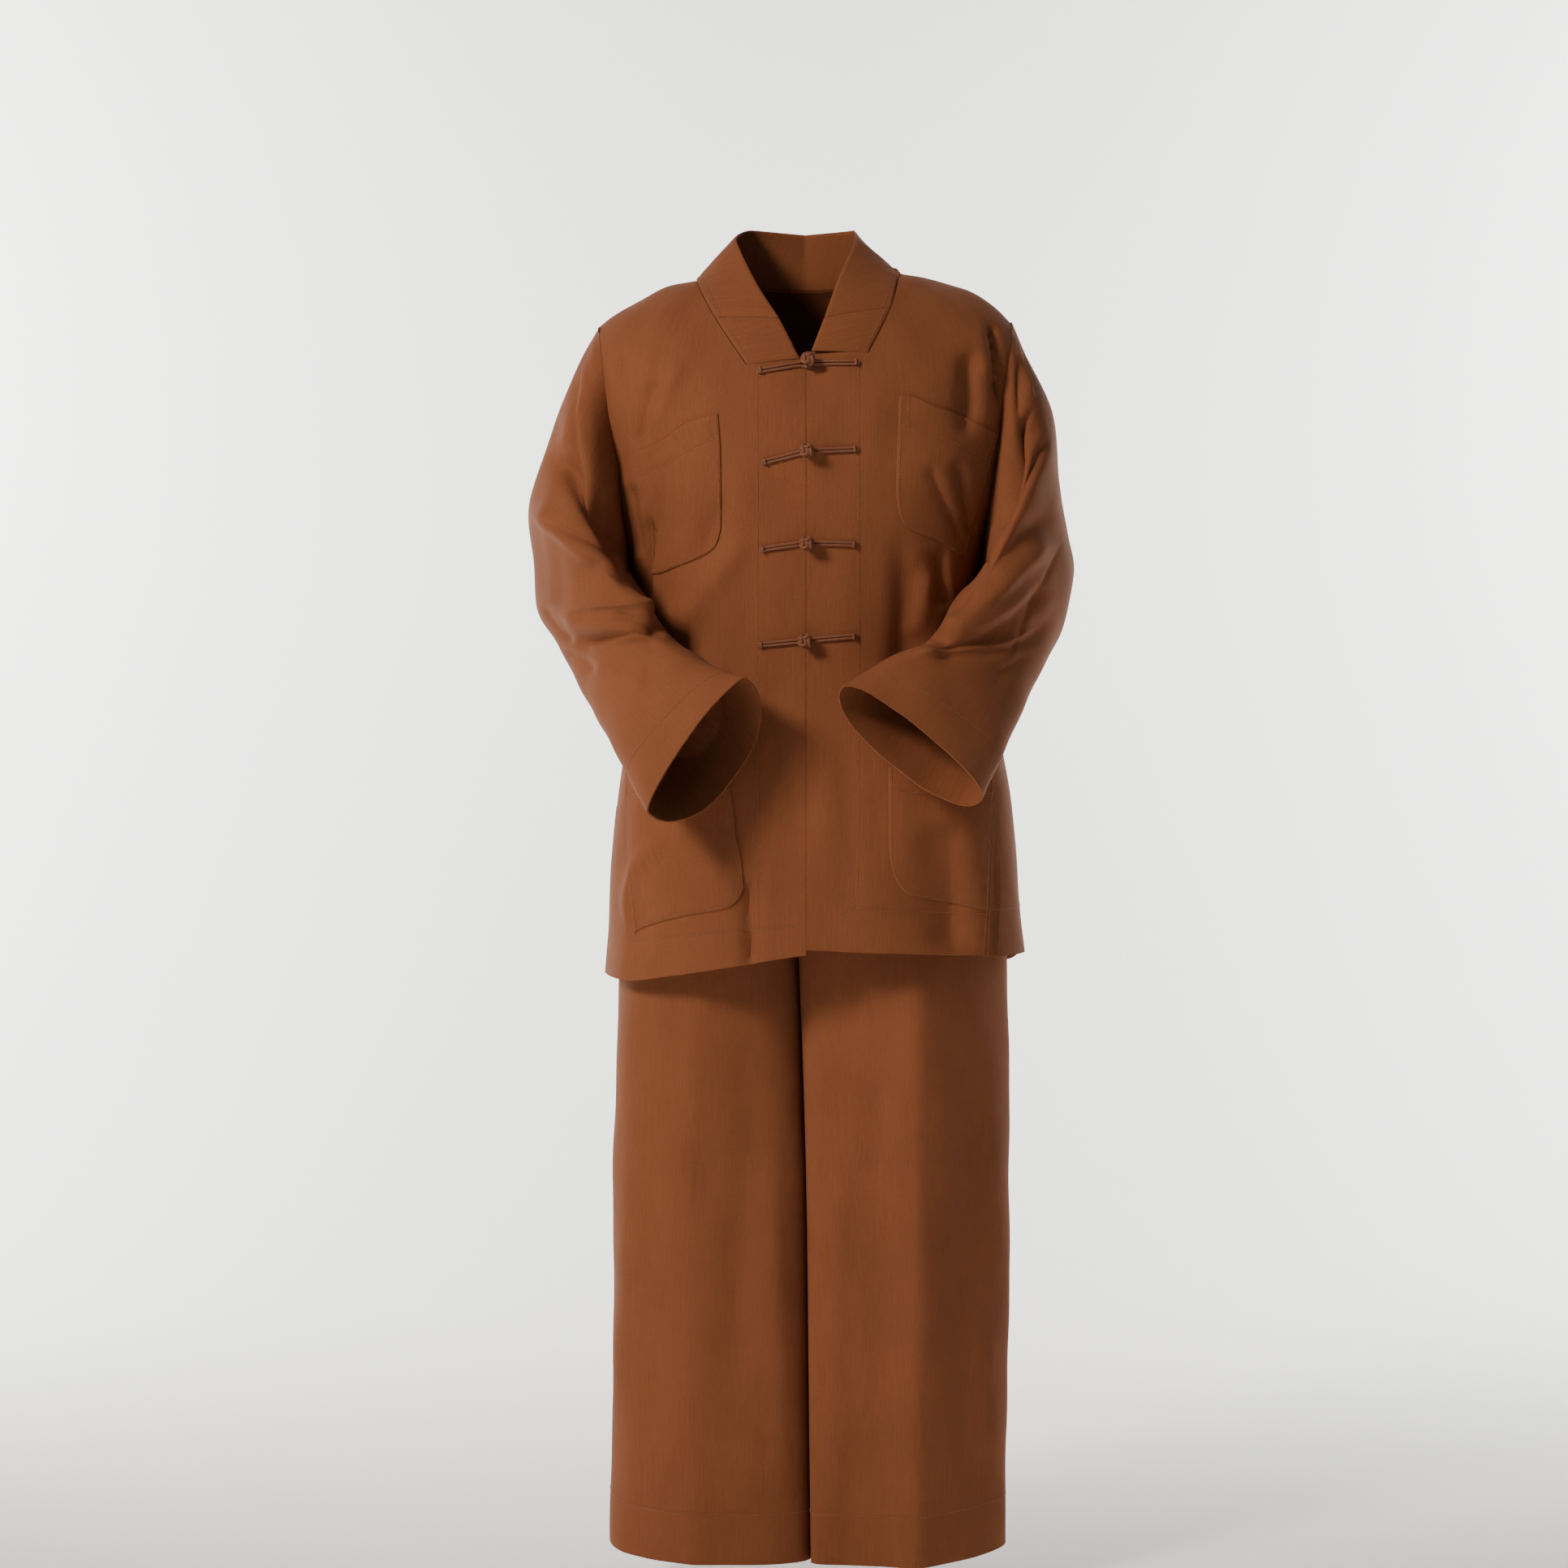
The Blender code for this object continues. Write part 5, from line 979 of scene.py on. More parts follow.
def leg_panel(side, sheer):
    """Grid of a leg panel, from its inner edge to its outer edge, waist to hem."""
    share = (1 - np.cos(np.pi * np.arange(LEG_COLUMNS_COUNT + 1) / LEG_COLUMNS_COUNT)) / 2
    share = 0.5 * share + 0.5 * np.linspace(0, 1, LEG_COLUMNS_COUNT + 1)
    column = 0 if side == "left" else 1
    inner, outer = TROUSER_HEM_INNER[column], TROUSER_HEM_OUTER[column]
    dip = TROUSER_HEM_FRONT[column] - (inner + outer) / 2
    hem = inner + (outer - inner) * share + dip * np.sin(np.pi * share)
    top = np.full_like(hem, WAISTBAND[0] - SEAM)
    z = top[None, :] + (hem - top)[None, :] * (np.arange(LEG_ROWS + 1) / LEG_ROWS)[:, None]
    share = np.broadcast_to(share[None, :], z.shape)
    wide = leg_point(side, spread(share, 2), spread(z, 2), sheer)
    centre = wide.mean(axis=1, keepdims=True) * np.array([1.0, 0.0, 1.0])
    normals = grid_normals(wide, (wide - centre)[1:-1, 1:-1])
    near = smoothstep(np.abs(spread(share, 1)) / LEG_CALM)[..., None]
    moved = folded("leg_" + side, wide[1:-1, 1:-1], normals, normals)
    moved = wide[1:-1, 1:-1] + (moved - wide[1:-1, 1:-1]) * near
    normals = grid_normals(moved, (wide - centre)[2:-2, 2:-2])
    facing = -1 if sheer == "front" else 1
    return moved[1:-1, 1:-1] + np.array([SIDES[side] * SEAM / 2, facing * SEAM / 2, 0.0]), normals


def on_skin(tree, x, z):
    """Point and outward normal of the front at (x, z), seen from before it."""
    point, normal, _index, _distance = tree.ray_cast(Vector((x, -1.0, z)), Vector((0.0, 1.0, 0.0)))
    if normal.y > 0:
        normal = -normal
    return np.array(point), np.array(normal)


def collar_grid(fronts, back, shoulder, back_shoulder):
    """Grid of the whole collar: rows from its seam to its neck edge, columns end to end."""
    sides = {}
    centre = back[0].shape[1] // 2
    for side, (front, front_normals) in fronts.items():
        first = shoulder[0] - NECK_STEPS
        columns = centre + SIDES[side] * np.arange(back_shoulder[0] - 1, -1, -1)
        seam = np.concatenate([front[0, first:shoulder[0] + 1], back[0][0, columns]])
        rim = np.concatenate([front_normals[0, first:shoulder[0] + 1], back[1][0, columns]])
        step = np.arange(len(seam)) * COLLAR_TABLE_STEPS / NECK_STEPS
        edge = np.stack([SIDES[side] * read(COLLAR[side], COLLAR_COLUMNS, "x", step),
                         read(COLLAR[side], COLLAR_COLUMNS, "y", step),
                         read(COLLAR[side], COLLAR_COLUMNS, "z", step)], axis=-1)
        sides[side] = (seam, edge, rim)
    seam, edge, rim = (np.concatenate([sides["left"][k], sides["right"][k][-2::-1]]) for k in range(3))
    reach = unit(edge - seam)
    run = unit(np.gradient(seam, axis=0))
    out = unit(np.cross(run, reach))
    outward = np.sum(out * (seam * np.array([1.0, 1.0, 0.0])), axis=-1, keepdims=True)
    out = np.where(outward > 0, out, -out)
    toward = np.cross(run, rim)
    toward *= np.sign(np.sum(toward * reach, axis=-1, keepdims=True))
    seam = seam + unit(toward) * SEAM * 2 + rim * COLLAR_RISE
    share = crowded(COLLAR_ROWS)[:, None, None]
    grid = seam[None] + (edge - seam)[None] * share + out[None] * COLLAR_BULGE * np.sin(np.pi * share)
    settled = smoothstep(share / COLLAR_SETTLES)
    normals = rim[None] * (1 - settled) + out[None] * settled
    return grid, unit(normals)


def waistband_skin():
    """Outer skin of the trousers' plain waistband, a closed ring of cloth."""
    share = np.arange(WAISTBAND_COLUMNS) / WAISTBAND_COLUMNS * 2 * np.pi
    rows = []
    for z in np.linspace(WAISTBAND[1], WAISTBAND[0], WAISTBAND_ROWS + 1):
        side_half = np.where(np.sin(share) > 0, read(HIP, HIP_COLUMNS, "right", WAISTBAND[0]),
                             read(HIP, HIP_COLUMNS, "left", WAISTBAND[0]))
        deep = np.where(np.cos(share) > 0, read(HIP, HIP_COLUMNS, "back", WAISTBAND[0]),
                        read(HIP, HIP_COLUMNS, "front", WAISTBAND[0]))
        x = side_half * power(np.sin(share), 2 / LEG_SQUARENESS)
        y = LEG_MIDDLE + deep * power(np.cos(share), 2 / LEG_SQUARENESS)
        rows.append(np.stack([x, y, np.full_like(x, z)], axis=-1))
    return np.array(rows)


def seen(points):
    """Where the camera sees each point on the upright plane through the origin, as x and z."""
    eye = np.array(CAMERA_AT)
    share = -eye[1] / (points[..., 1] - eye[1])
    return (eye[0] + (points[..., 0] - eye[0]) * share, eye[2] + (points[..., 2] - eye[2]) * share)


def smooth_line(points, steps):
    """A smooth line of even steps through points of any dimension."""
    points = np.asarray(points, float)
    length = lengths(points)
    at = np.linspace(0, length[-1], steps + 1)
    fine = np.stack([cubic(length, points[:, k], at) for k in range(points.shape[1])], axis=-1)
    true = lengths(fine)
    even = np.linspace(0, true[-1], steps + 1)
    return np.stack([np.interp(even, true, fine[:, k]) for k in range(points.shape[1])], axis=-1)


def creases(piece, skin, normals):
    """How far the creases that the front shows lift a piece's skin."""
    x, z = seen(skin)
    lift = np.zeros_like(x)
    sight = unit(np.array(CAMERA_AT) - skin)
    facing = smoothstep(np.sum(normals * sight, axis=-1) / CREASE_FACING)
    for left, right, height, sharp, *points in CREASES.get(piece, ()):
        line = smooth_line(np.array(points) / TENTHS, CREASE_STEPS)
        run = lengths(line) / lengths(line)[-1]
        best = np.full(x.shape, 1e9)
        at, over = np.zeros_like(x), np.zeros_like(x)
        for (ax, az), (bx, bz), first, last in zip(line[:-1], line[1:], run[:-1], run[1:]):
            dx, dz = bx - ax, bz - az
            t = np.clip(((x - ax) * dx + (z - az) * dz) / (dx * dx + dz * dz), 0.0, 1.0)
            gap = (x - ax - t * dx) ** 2 + (z - az - t * dz) ** 2
            near = gap < best
            best = np.where(near, gap, best)
            at = np.where(near, first + (last - first) * t, at)
            over = np.where(near, dx * (z - az) - dz * (x - ax), over)
        width = np.where(over > 0, left / TENTHS, right / TENTHS)
        ends = smoothstep(at / CREASE_FADE) * smoothstep((1 - at) / CREASE_FADE)
        lift += height / TENTHS * np.exp(-(np.sqrt(best) / width) ** sharp) * ends
    return lift * facing


def ripples(skin):
    """Slight waves of worn cloth, the same on every piece where pieces meet."""
    lift = np.zeros(skin.shape[:-1])
    for across, ahead, up, phase, height in RIPPLES:
        wave = skin[..., 0] / across + skin[..., 1] / ahead + skin[..., 2] / up
        lift += height * np.sin(2 * np.pi * (wave + phase))
    return lift


def settings():
    """The suit's own settings in this scene."""
    return bpy.context.scene.suit


def linear(code):
    """A hex colour of the screen as linear red, green and blue."""
    parts = [int(code[k:k + 2], 16) / 255 for k in (1, 3, 5)]
    return tuple(p / 12.92 if p <= 0.04045 else ((p + 0.055) / 1.055) ** 2.4 for p in parts)


@functools.lru_cache(maxsize=None)
def panels():
    """The jacket's panels, as outer skins and their normals, with the shoulder's columns."""
    made = {}
    for side in SIDES:
        skin, normals, shoulder = front_panel(side)
        made["front_" + side] = (skin, normals)
    skin, normals, back_shoulder = back_panel()
    made["back"] = (skin, normals)
    for side in SIDES:
        ring = armhole_ring(made["front_" + side][0], skin, side, shoulder, back_shoulder)
        made["sleeve_" + side] = sleeve_panel(side, ring)
    made["collar"] = collar_grid({side: made["front_" + side] for side in SIDES}, made["back"],
                                 shoulder, back_shoulder)
    return made


@functools.lru_cache(maxsize=None)
def tree_of(name):
    """Search tree over the outer skin of a panel."""
    skin = panels()[name][0]
    if name.startswith("sleeve"):
        skin = np.concatenate([skin, skin[:, :1]], axis=1)
    rows, columns = skin.shape[:2]
    at = np.arange(rows * columns).reshape(rows, columns)
    quads = np.stack([at[:-1, :-1], at[:-1, 1:], at[1:, 1:], at[1:, :-1]], axis=-1).reshape(-1, 4)
    return BVHTree.FromPolygons(skin.reshape(-1, 3).tolist(), quads.tolist())


def sighted(tree, x, z):
    """Point and outward normal of the cloth where the camera sees it past (x, z), or None."""
    eye = Vector(CAMERA_AT)
    ahead = (Vector((x, 0.0, z)) - eye).normalized()
    point, normal, _index, _distance = tree.ray_cast(eye, ahead)
    if point is None:
        point, normal, _index, _distance = tree.find_nearest(eye + ahead * -eye.y / ahead.y)
    if normal.dot(ahead) > 0:
        normal = -normal
    return np.array(point), np.array(normal)


def piece_object(name, mesh, materials):
    """A named object of a mesh at the origin, smooth where it bends softly."""
    for finish in materials:
        mesh.materials.append(finish)
    mesh.shade_smooth()
    mesh.set_sharp_from_angle(angle=math.radians(SHARP_DEGREES))
    piece = bpy.data.objects.new(name, mesh)
    bpy.context.scene.collection.objects.link(piece)
    return piece


def lay_flat(skin, closed):
    """Place of each point of a panel on its flat cloth, in metres across and along."""
    if closed:
        ring = np.concatenate([skin, skin[:, :1]], axis=1)
        around = np.linalg.norm(np.diff(ring, axis=1), axis=-1).sum(axis=1).mean()
        across = np.broadcast_to(np.linspace(0, around, ring.shape[1]), ring.shape[:2])
        centres = skin.mean(axis=1)
        along = np.broadcast_to((-lengths(centres))[:, None], ring.shape[:2])
        return np.stack([across, along], axis=-1)
    level = skin * np.array([1.0, 1.0, 0.0])
    across, fall = run_over(level, 1), run_over(skin, 0)
    return np.stack([across, skin[-1:, :, 2] + fall[-1:] - fall], axis=-1)


def shell(name, outer, inner, normals, materials, closed=False, flat=None):
    """A closed shell between an outer and an inner skin, with rims and a flat-cloth map."""
    rows, columns = outer.shape[:2]
    count = rows * columns
    at = np.arange(count).reshape(rows, columns)
    if closed:
        at = np.concatenate([at, at[:, :1]], axis=1)
    corners = ((slice(None, -1), slice(None, -1)), (slice(None, -1), slice(1, None)),
               (slice(1, None), slice(1, None)), (slice(1, None), slice(None, -1)))
    flat = lay_flat(outer, closed) if flat is None else flat
    quads = np.stack([at[c] for c in corners], axis=-1).reshape(-1, 4)
    maps = np.stack([flat[c] for c in corners], axis=-2).reshape(-1, 4, 2)
    points = outer.reshape(-1, 3)
    span = np.cross(points[quads[:, 2]] - points[quads[:, 0]], points[quads[:, 3]] - points[quads[:, 1]])
    turned = np.sum(span * normals.reshape(-1, 3)[quads[:, 0]]) < 0
    rims = [(at[0, ::-1], flat[0, ::-1]), (at[-1], flat[-1])]
    if not closed:
        rims += [(at[:, 0], flat[:, 0]), (at[::-1, -1], flat[::-1, -1])]
    faces, places = [quads, quads[:, ::-1] + count], [maps, maps[:, ::-1]]
    for line, spots in rims:
        faces.append(np.stack([line[:-1], line[1:], line[1:] + count, line[:-1] + count], axis=-1))
        places.append(np.stack([spots[:-1], spots[1:], spots[1:], spots[:-1]], axis=-2))
    faces, places = np.concatenate(faces), np.concatenate(places)
    if turned:
        faces, places = faces[:, ::-1], places[:, ::-1]
    mesh = bpy.data.meshes.new(name)
    everything = np.concatenate([points, inner.reshape(-1, 3)])
    mesh.from_pydata(everything.tolist(), [], faces.tolist())
    layer = mesh.uv_layers.new(name="FlatCloth")
    layer.data.foreach_set("uv", places.reshape(-1).astype(np.float32))
    mesh.validate()
    return piece_object(name, mesh, materials)


def cloth_wall(name, skin, normals, thickness, finish, closed=False):
    """A wall of cloth of even thickness behind its outer skin."""
    return shell(name, skin, skin - normals * thickness, normals, [finish], closed)


def rounded(distance, radius):
    """Share of a turned edge's thickness reached at a distance from the edge."""
    inside = np.clip(1 - distance / radius, 0.0, 1.0)
    return np.sqrt(1 - inside ** 2)


def coons(top, bottom, left, right):
    """Grid between four border lines: top and bottom run left to right, the others downwards."""
    v = np.linspace(0, 1, len(left))[:, None, None]
    u = np.linspace(0, 1, len(top))[None, :, None]
    ruled = top[None] * (1 - v) + bottom[None] * v + left[:, None] * (1 - u) + right[:, None] * u
    corner = (top[0] * (1 - u) * (1 - v) + top[-1] * u * (1 - v)
              + bottom[0] * (1 - u) * v + bottom[-1] * u * v)
    return ruled - corner


def crowded(steps):
    """Shares from 0 to 1 that crowd towards both ends, where an edge turns."""
    even = np.linspace(0, 1, steps + 1)
    return EVEN_SHARE * even + CROWDED_SHARE * (1 - np.cos(np.pi * even)) / 2


def pocket(name, finish):
    """A patch pocket on its front: a soft layer with turned edges and a slack top hem."""
    row = POCKET_EDGES[name]
    borders = []
    for points in row["borders"]:
        fine = smooth_line(points, 4 * POCKET_STEPS)
        at = crowded(POCKET_STEPS) * 4 * POCKET_STEPS
        steps = np.arange(len(fine))
        borders.append(np.stack([np.interp(at, steps, fine[:, k]) for k in (0, 1)], axis=-1))
    plan = coons(*borders)
    tree = tree_of(row["front"])
    base = np.array([[sighted(tree, x, z)[0] for x, z in line] for line in plan])
    wide = spread_points(base)
    normals = grid_normals(wide, np.broadcast_to(np.array([0.0, -1.0, 0.0]), base.shape))
    across, down = run_over(base, 1), run_over(base, 0)
    u, v = across / across[:, -1:], down / down[-1:]
    border = np.minimum(np.minimum(across, across[:, -1:] - across), np.minimum(down, down[-1:] - down))
    rise = POCKET_CLOTH * rounded(border, POCKET_EDGE)
    swell = np.sin(np.pi * u)
    full = swell ** POCKET_SWELL * np.sin(np.pi * np.clip(v, 0, 1)) ** POCKET_SWELL
    rise = rise + row["fullness"] * full + row["gape"] * swell * np.exp(-down / GAPE_REACH)
    dent = HEM_DENT * np.exp(-((down - row["hem"]) / HEM_DENT_WIDTH) ** 2)
    rise = rise - dent * swell ** HEM_DENT_FADE
    inner = base + normals * LIE
    outer = inner + normals * (POCKET_THINNEST + rise)[..., None]
    flat = np.stack([across + base[:, :1, 0], base[..., 2]], axis=-1)
    made = shell(name + "_cloth", outer, inner, normals, [finish], flat=flat)
    rows = np.arange(len(base))
    hem_row = int(np.argmin(np.abs(down[:, base.shape[1] // 2] - row["hem"])))
    inset = EDGE_STITCH
    left = np.array([at_distance(outer[i], across[i], inset) for i in rows])
    right = np.array([at_distance(outer[i], across[i], across[i, -1] - inset) for i in rows])
    bottom = np.array([at_distance(outer[:, j], down[:, j], down[-1, j] - inset)
                       for j in range(base.shape[1])])
    keep = rows[1:-1]
    lines = [left[keep], right[keep], trimmed(bottom, inset), trimmed(outer[hem_row], inset)]
    if row["boxed"]:
        hem = rows[(rows > 0) & (rows <= hem_row)]
        lines.append(np.array([at_distance(outer[i], across[i], inset + BAR_INSET) for i in hem]))
        lines.append(np.array([at_distance(outer[i], across[i], across[i, -1] - inset - BAR_INSET)
                               for i in hem]))
    outward = normals.mean(axis=(0, 1))
    lines = [line + outward * STITCH_LIFT for line in lines if len(line) > 1]
    return made, lines


def spread_points(points):
    """A grid of points continued by reflection past its four edges."""
    return np.stack([spread(points[..., k], 1) for k in range(3)], axis=-1)


def at_distance(line, along_line, distance):
    """Point of a line at a distance along it."""
    return np.array([np.interp(distance, along_line, line[:, k]) for k in range(3)])


def trimmed(line, inset):
    """A line without its last bit at each end."""
    run = lengths(line)
    return line[(run > inset * TRIM_SHARE) & (run < run[-1] - inset * TRIM_SHARE)]


def on_sight(panel, points):
    """A line over a panel where the camera sees the given points, a stitch's height clear."""
    points = np.asarray(points, float)
    steps = max(2, int(lengths(points)[-1] / SIGHT_STEP))
    line = []
    for x, z in smooth_line(points, steps):
        point, normal = sighted(tree_of(panel), x, z)
        line.append(point + normal * STITCH_LIFT)
    return np.array(line)


def off_skin(points, normals):
    """A line of a panel's grid, a stitch's height clear of it."""
    return points + normals * STITCH_LIFT


def node(tree, kind, inputs=None, **values):
    """A node with its settings; each input takes a value, or another node's output to link."""
    new = tree.nodes.new(kind)
    for key, value in values.items():
        setattr(new, key, value)
    for key, value in (inputs or {}).items():
        if isinstance(value, bpy.types.NodeSocket):
            tree.links.new(value, new.inputs[key])
        else:
            new.inputs[key].default_value = value
    return new


def geometry_tree(name, sockets):
    """An empty geometry tree with a lines input, the given inputs, and a geometry output."""
    tree = bpy.data.node_groups.new(name, "GeometryNodeTree")
    tree.interface.new_socket("Lines", in_out="INPUT", socket_type="NodeSocketGeometry")
    for label, kind, value in sockets:
        socket = tree.interface.new_socket(label, in_out="INPUT", socket_type=kind)
        if value is not None:
            socket.default_value = value
    tree.interface.new_socket("Geometry", in_out="OUTPUT", socket_type="NodeSocketGeometry")
    return tree, node(tree, "NodeGroupInput")


@functools.lru_cache(maxsize=None)
def stitch_tree():
    """Running stitches: a small bead of thread at even steps along each line."""
    tree, given = geometry_tree("Running Stitches", (
        ("Pitch", "NodeSocketFloat", 0.0032), ("Length", "NodeSocketFloat", 0.0024),
        ("Width", "NodeSocketFloat", 0.0008), ("Thread", "NodeSocketMaterial", None)))
    curve = node(tree, "GeometryNodeMeshToCurve", {"Mesh": given.outputs["Lines"]})
    even = node(tree, "GeometryNodeResampleCurve",
                {"Curve": curve.outputs[0], "Length": given.outputs["Pitch"]}, mode="LENGTH")
    bead = node(tree, "GeometryNodeMeshUVSphere", {"Segments": 6, "Rings": 4, "Radius": 0.5})
    ahead = node(tree, "GeometryNodeInputTangent")
    turn = node(tree, "FunctionNodeAlignRotationToVector", {"Vector": ahead.outputs[0]}, axis="X")
    size = node(tree, "ShaderNodeCombineXYZ", {"X": given.outputs["Length"], "Y": given.outputs["Width"],
                                               "Z": given.outputs["Width"]})
    beads = node(tree, "GeometryNodeInstanceOnPoints", {
        "Points": even.outputs[0], "Instance": bead.outputs["Mesh"],
        "Rotation": turn.outputs[0], "Scale": size.outputs[0]})
    real = node(tree, "GeometryNodeRealizeInstances", {"Geometry": beads.outputs[0]})
    finish = node(tree, "GeometryNodeSetMaterial", {"Geometry": real.outputs[0],
                                                    "Material": given.outputs["Thread"]})
    node(tree, "NodeGroupOutput", {"Geometry": finish.outputs[0]})
    return tree


@functools.lru_cache(maxsize=None)
def cord_tree():
    """Round cord swept along each line, closed at its ends."""
    tree, given = geometry_tree("Cloth Cord", (
        ("Radius", "NodeSocketFloat", 0.0016), ("Sides", "NodeSocketInt", 12),
        ("Cloth", "NodeSocketMaterial", None)))
    curve = node(tree, "GeometryNodeMeshToCurve", {"Mesh": given.outputs["Lines"]})
    ring = node(tree, "GeometryNodeCurvePrimitiveCircle", {"Resolution": given.outputs["Sides"],
                                                           "Radius": given.outputs["Radius"]})
    swept = node(tree, "GeometryNodeCurveToMesh", {"Curve": curve.outputs[0],
                                                   "Profile Curve": ring.outputs[0], "Fill Caps": True})
    real = node(tree, "GeometryNodeRealizeInstances", {"Geometry": swept.outputs[0]})
    finish = node(tree, "GeometryNodeSetMaterial", {"Geometry": real.outputs[0],
                                                    "Material": given.outputs["Cloth"]})
    node(tree, "NodeGroupOutput", {"Geometry": finish.outputs[0]})
    return tree


def grown(name, tree, lines, values):
    """What a geometry tree makes of lines of points, as a plain mesh; lines may be closed."""
    guide_mesh = bpy.data.meshes.new(name + "_lines")
    points, edges = [], []
    for line, closed in lines:
        first = len(points)
        points.extend(np.asarray(line).tolist())
        edges.extend((first + k, first + k + 1) for k in range(len(line) - 1))
        if closed:
            edges.append((first + len(line) - 1, first))
    guide_mesh.from_pydata(points, edges, [])
    guide = bpy.data.objects.new(name + "_lines", guide_mesh)
    bpy.context.scene.collection.objects.link(guide)
    modifier = guide.modifiers.new("Along Lines", "NODES")
    modifier.node_group = tree
    for item in tree.interface.items_tree:
        if item.in_out == "INPUT" and item.name in values:
            modifier[item.identifier] = values[item.name]
    bpy.context.view_layer.update()
    made = bpy.data.meshes.new_from_object(guide.evaluated_get(bpy.context.evaluated_depsgraph_get()))
    made.name = name
    bpy.data.objects.remove(guide)
    bpy.data.meshes.remove(guide_mesh)
    return made


def stitched(name, lines):
    """Stitching of a piece along its lines, of thread in the cloth's own colour."""
    values = {"Pitch": settings().stitch_pitch, "Length": settings().stitch_length,
              "Width": settings().stitch_width, "Thread": thread()}
    closed = [(line, False) for line in lines]
    mesh = grown(name + "_stitching", stitch_tree(), closed, values)
    return piece_object(name + "_stitching", mesh, [])


def belongs(piece, name):
    """The piece rides the suit's one body, and the solid whose place it takes is hidden."""
    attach(piece, "root")
    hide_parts(name)


def sewn(piece, name, lines):
    """A cloth piece with stitching sewn through it along lines."""
    belongs(piece, name)
    stitching = stitched(name, lines)
    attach(stitching, "root")


def finish_of(name):
    """A new node-based finish, with its tree and its shader."""
    made = bpy.data.materials.new(name)
    made.use_nodes = True
    return made, made.node_tree, made.node_tree.nodes["Principled BSDF"]


def shade(colour, share=1.0):
    """A colour for a socket, lightened or darkened by a share."""
    return tuple(c * share for c in colour) + (1.0,)


@functools.lru_cache(maxsize=None)
def slubbed_cotton():
    """Woven cotton, unglazed: uneven yarns give fine upright streaks and a dry, soft surface."""
    cloth, tree, shader = finish_of("Slubbed plain-weave cotton")
    place = node(tree, "ShaderNodeUVMap", uv_map="FlatCloth")
    # Slubs are 1 to 2 mm wide and 30 to 70 mm long; the weave of 0.4 mm yarns is drawn at 1.4 mm
    # so that it shows
    streaks = []
    for width, length, detail in SLUBS:
        spaced = node(tree, "ShaderNodeMapping", {"Vector": place.outputs[0],
                                                  "Scale": (1 / width, 1 / length, 1.0)})
        streaks.append(node(tree, "ShaderNodeTexNoise", {
            "Vector": spaced.outputs[0], "Scale": 1.0, "Detail": detail, "Roughness": 0.6}))
    fine = node(tree, "ShaderNodeMapping", {"Vector": place.outputs[0],
                                            "Scale": (1 / WEAVE, 1 / (WEAVE * 1.5), 1.0)})
    weave = node(tree, "ShaderNodeTexNoise", {"Vector": fine.outputs[0], "Scale": 1.0, "Detail": 1.0})
    broad = node(tree, "ShaderNodeTexCoord")
    wear = node(tree, "ShaderNodeTexNoise", {"Vector": broad.outputs["Object"], "Scale": 7.0,
                                             "Detail": 2.0})
    mixed = node(tree, "ShaderNodeMath", {0: streaks[0].outputs["Fac"], 1: streaks[1].outputs["Fac"]},
                 operation="ADD")
    mixed = node(tree, "ShaderNodeMath", {0: mixed.outputs[0], 1: weave.outputs["Fac"]}, operation="ADD")
    tone = node(tree, "ShaderNodeMapRange", {"Value": mixed.outputs[0], "From Min": 1.15,
                                             "From Max": 1.85})
    base = settings().cloth_colour
    contrast = settings().slub_contrast
    streaked = node(tree, "ShaderNodeMix", {0: tone.outputs[0], 6: shade(base, 1 - contrast),
                                            7: shade(base, 1 + contrast)}, data_type="RGBA")
    worn = node(tree, "ShaderNodeMapRange", {"Value": wear.outputs["Fac"], "From Min": 0.3,
                                             "From Max": 0.7, "To Min": 0.93, "To Max": 1.07})
    coloured = node(tree, "ShaderNodeVectorMath", {0: streaked.outputs[2], 3: worn.outputs[0]},
                    operation="SCALE")
    tree.links.new(coloured.outputs[0], shader.inputs["Base Color"])
    rough = node(tree, "ShaderNodeMapRange", {"Value": mixed.outputs[0], "From Min": 1.0, "From Max": 2.0,
                                              "To Min": 0.78, "To Max": 0.9})
    tree.links.new(rough.outputs[0], shader.inputs["Roughness"])
    height = node(tree, "ShaderNodeMath", {0: mixed.outputs[0], 1: 0.5}, operation="MULTIPLY")
    relief = node(tree, "ShaderNodeBump", {"Height": height.outputs[0], "Strength": 0.5,
                                           "Distance": 0.0008})
    tree.links.new(relief.outputs[0], shader.inputs["Normal"])
    shader.inputs["Metallic"].default_value = 0.0
    shader.inputs["Sheen Weight"].default_value = 0.04
    shader.inputs["Sheen Roughness"].default_value = 0.5
    shader.inputs["Sheen Tint"].default_value = (0.9, 0.6, 0.4, 1.0)
    shader.inputs["Specular IOR Level"].default_value = 0.12
    cloth.diffuse_color = (*base, 1.0)
    return cloth


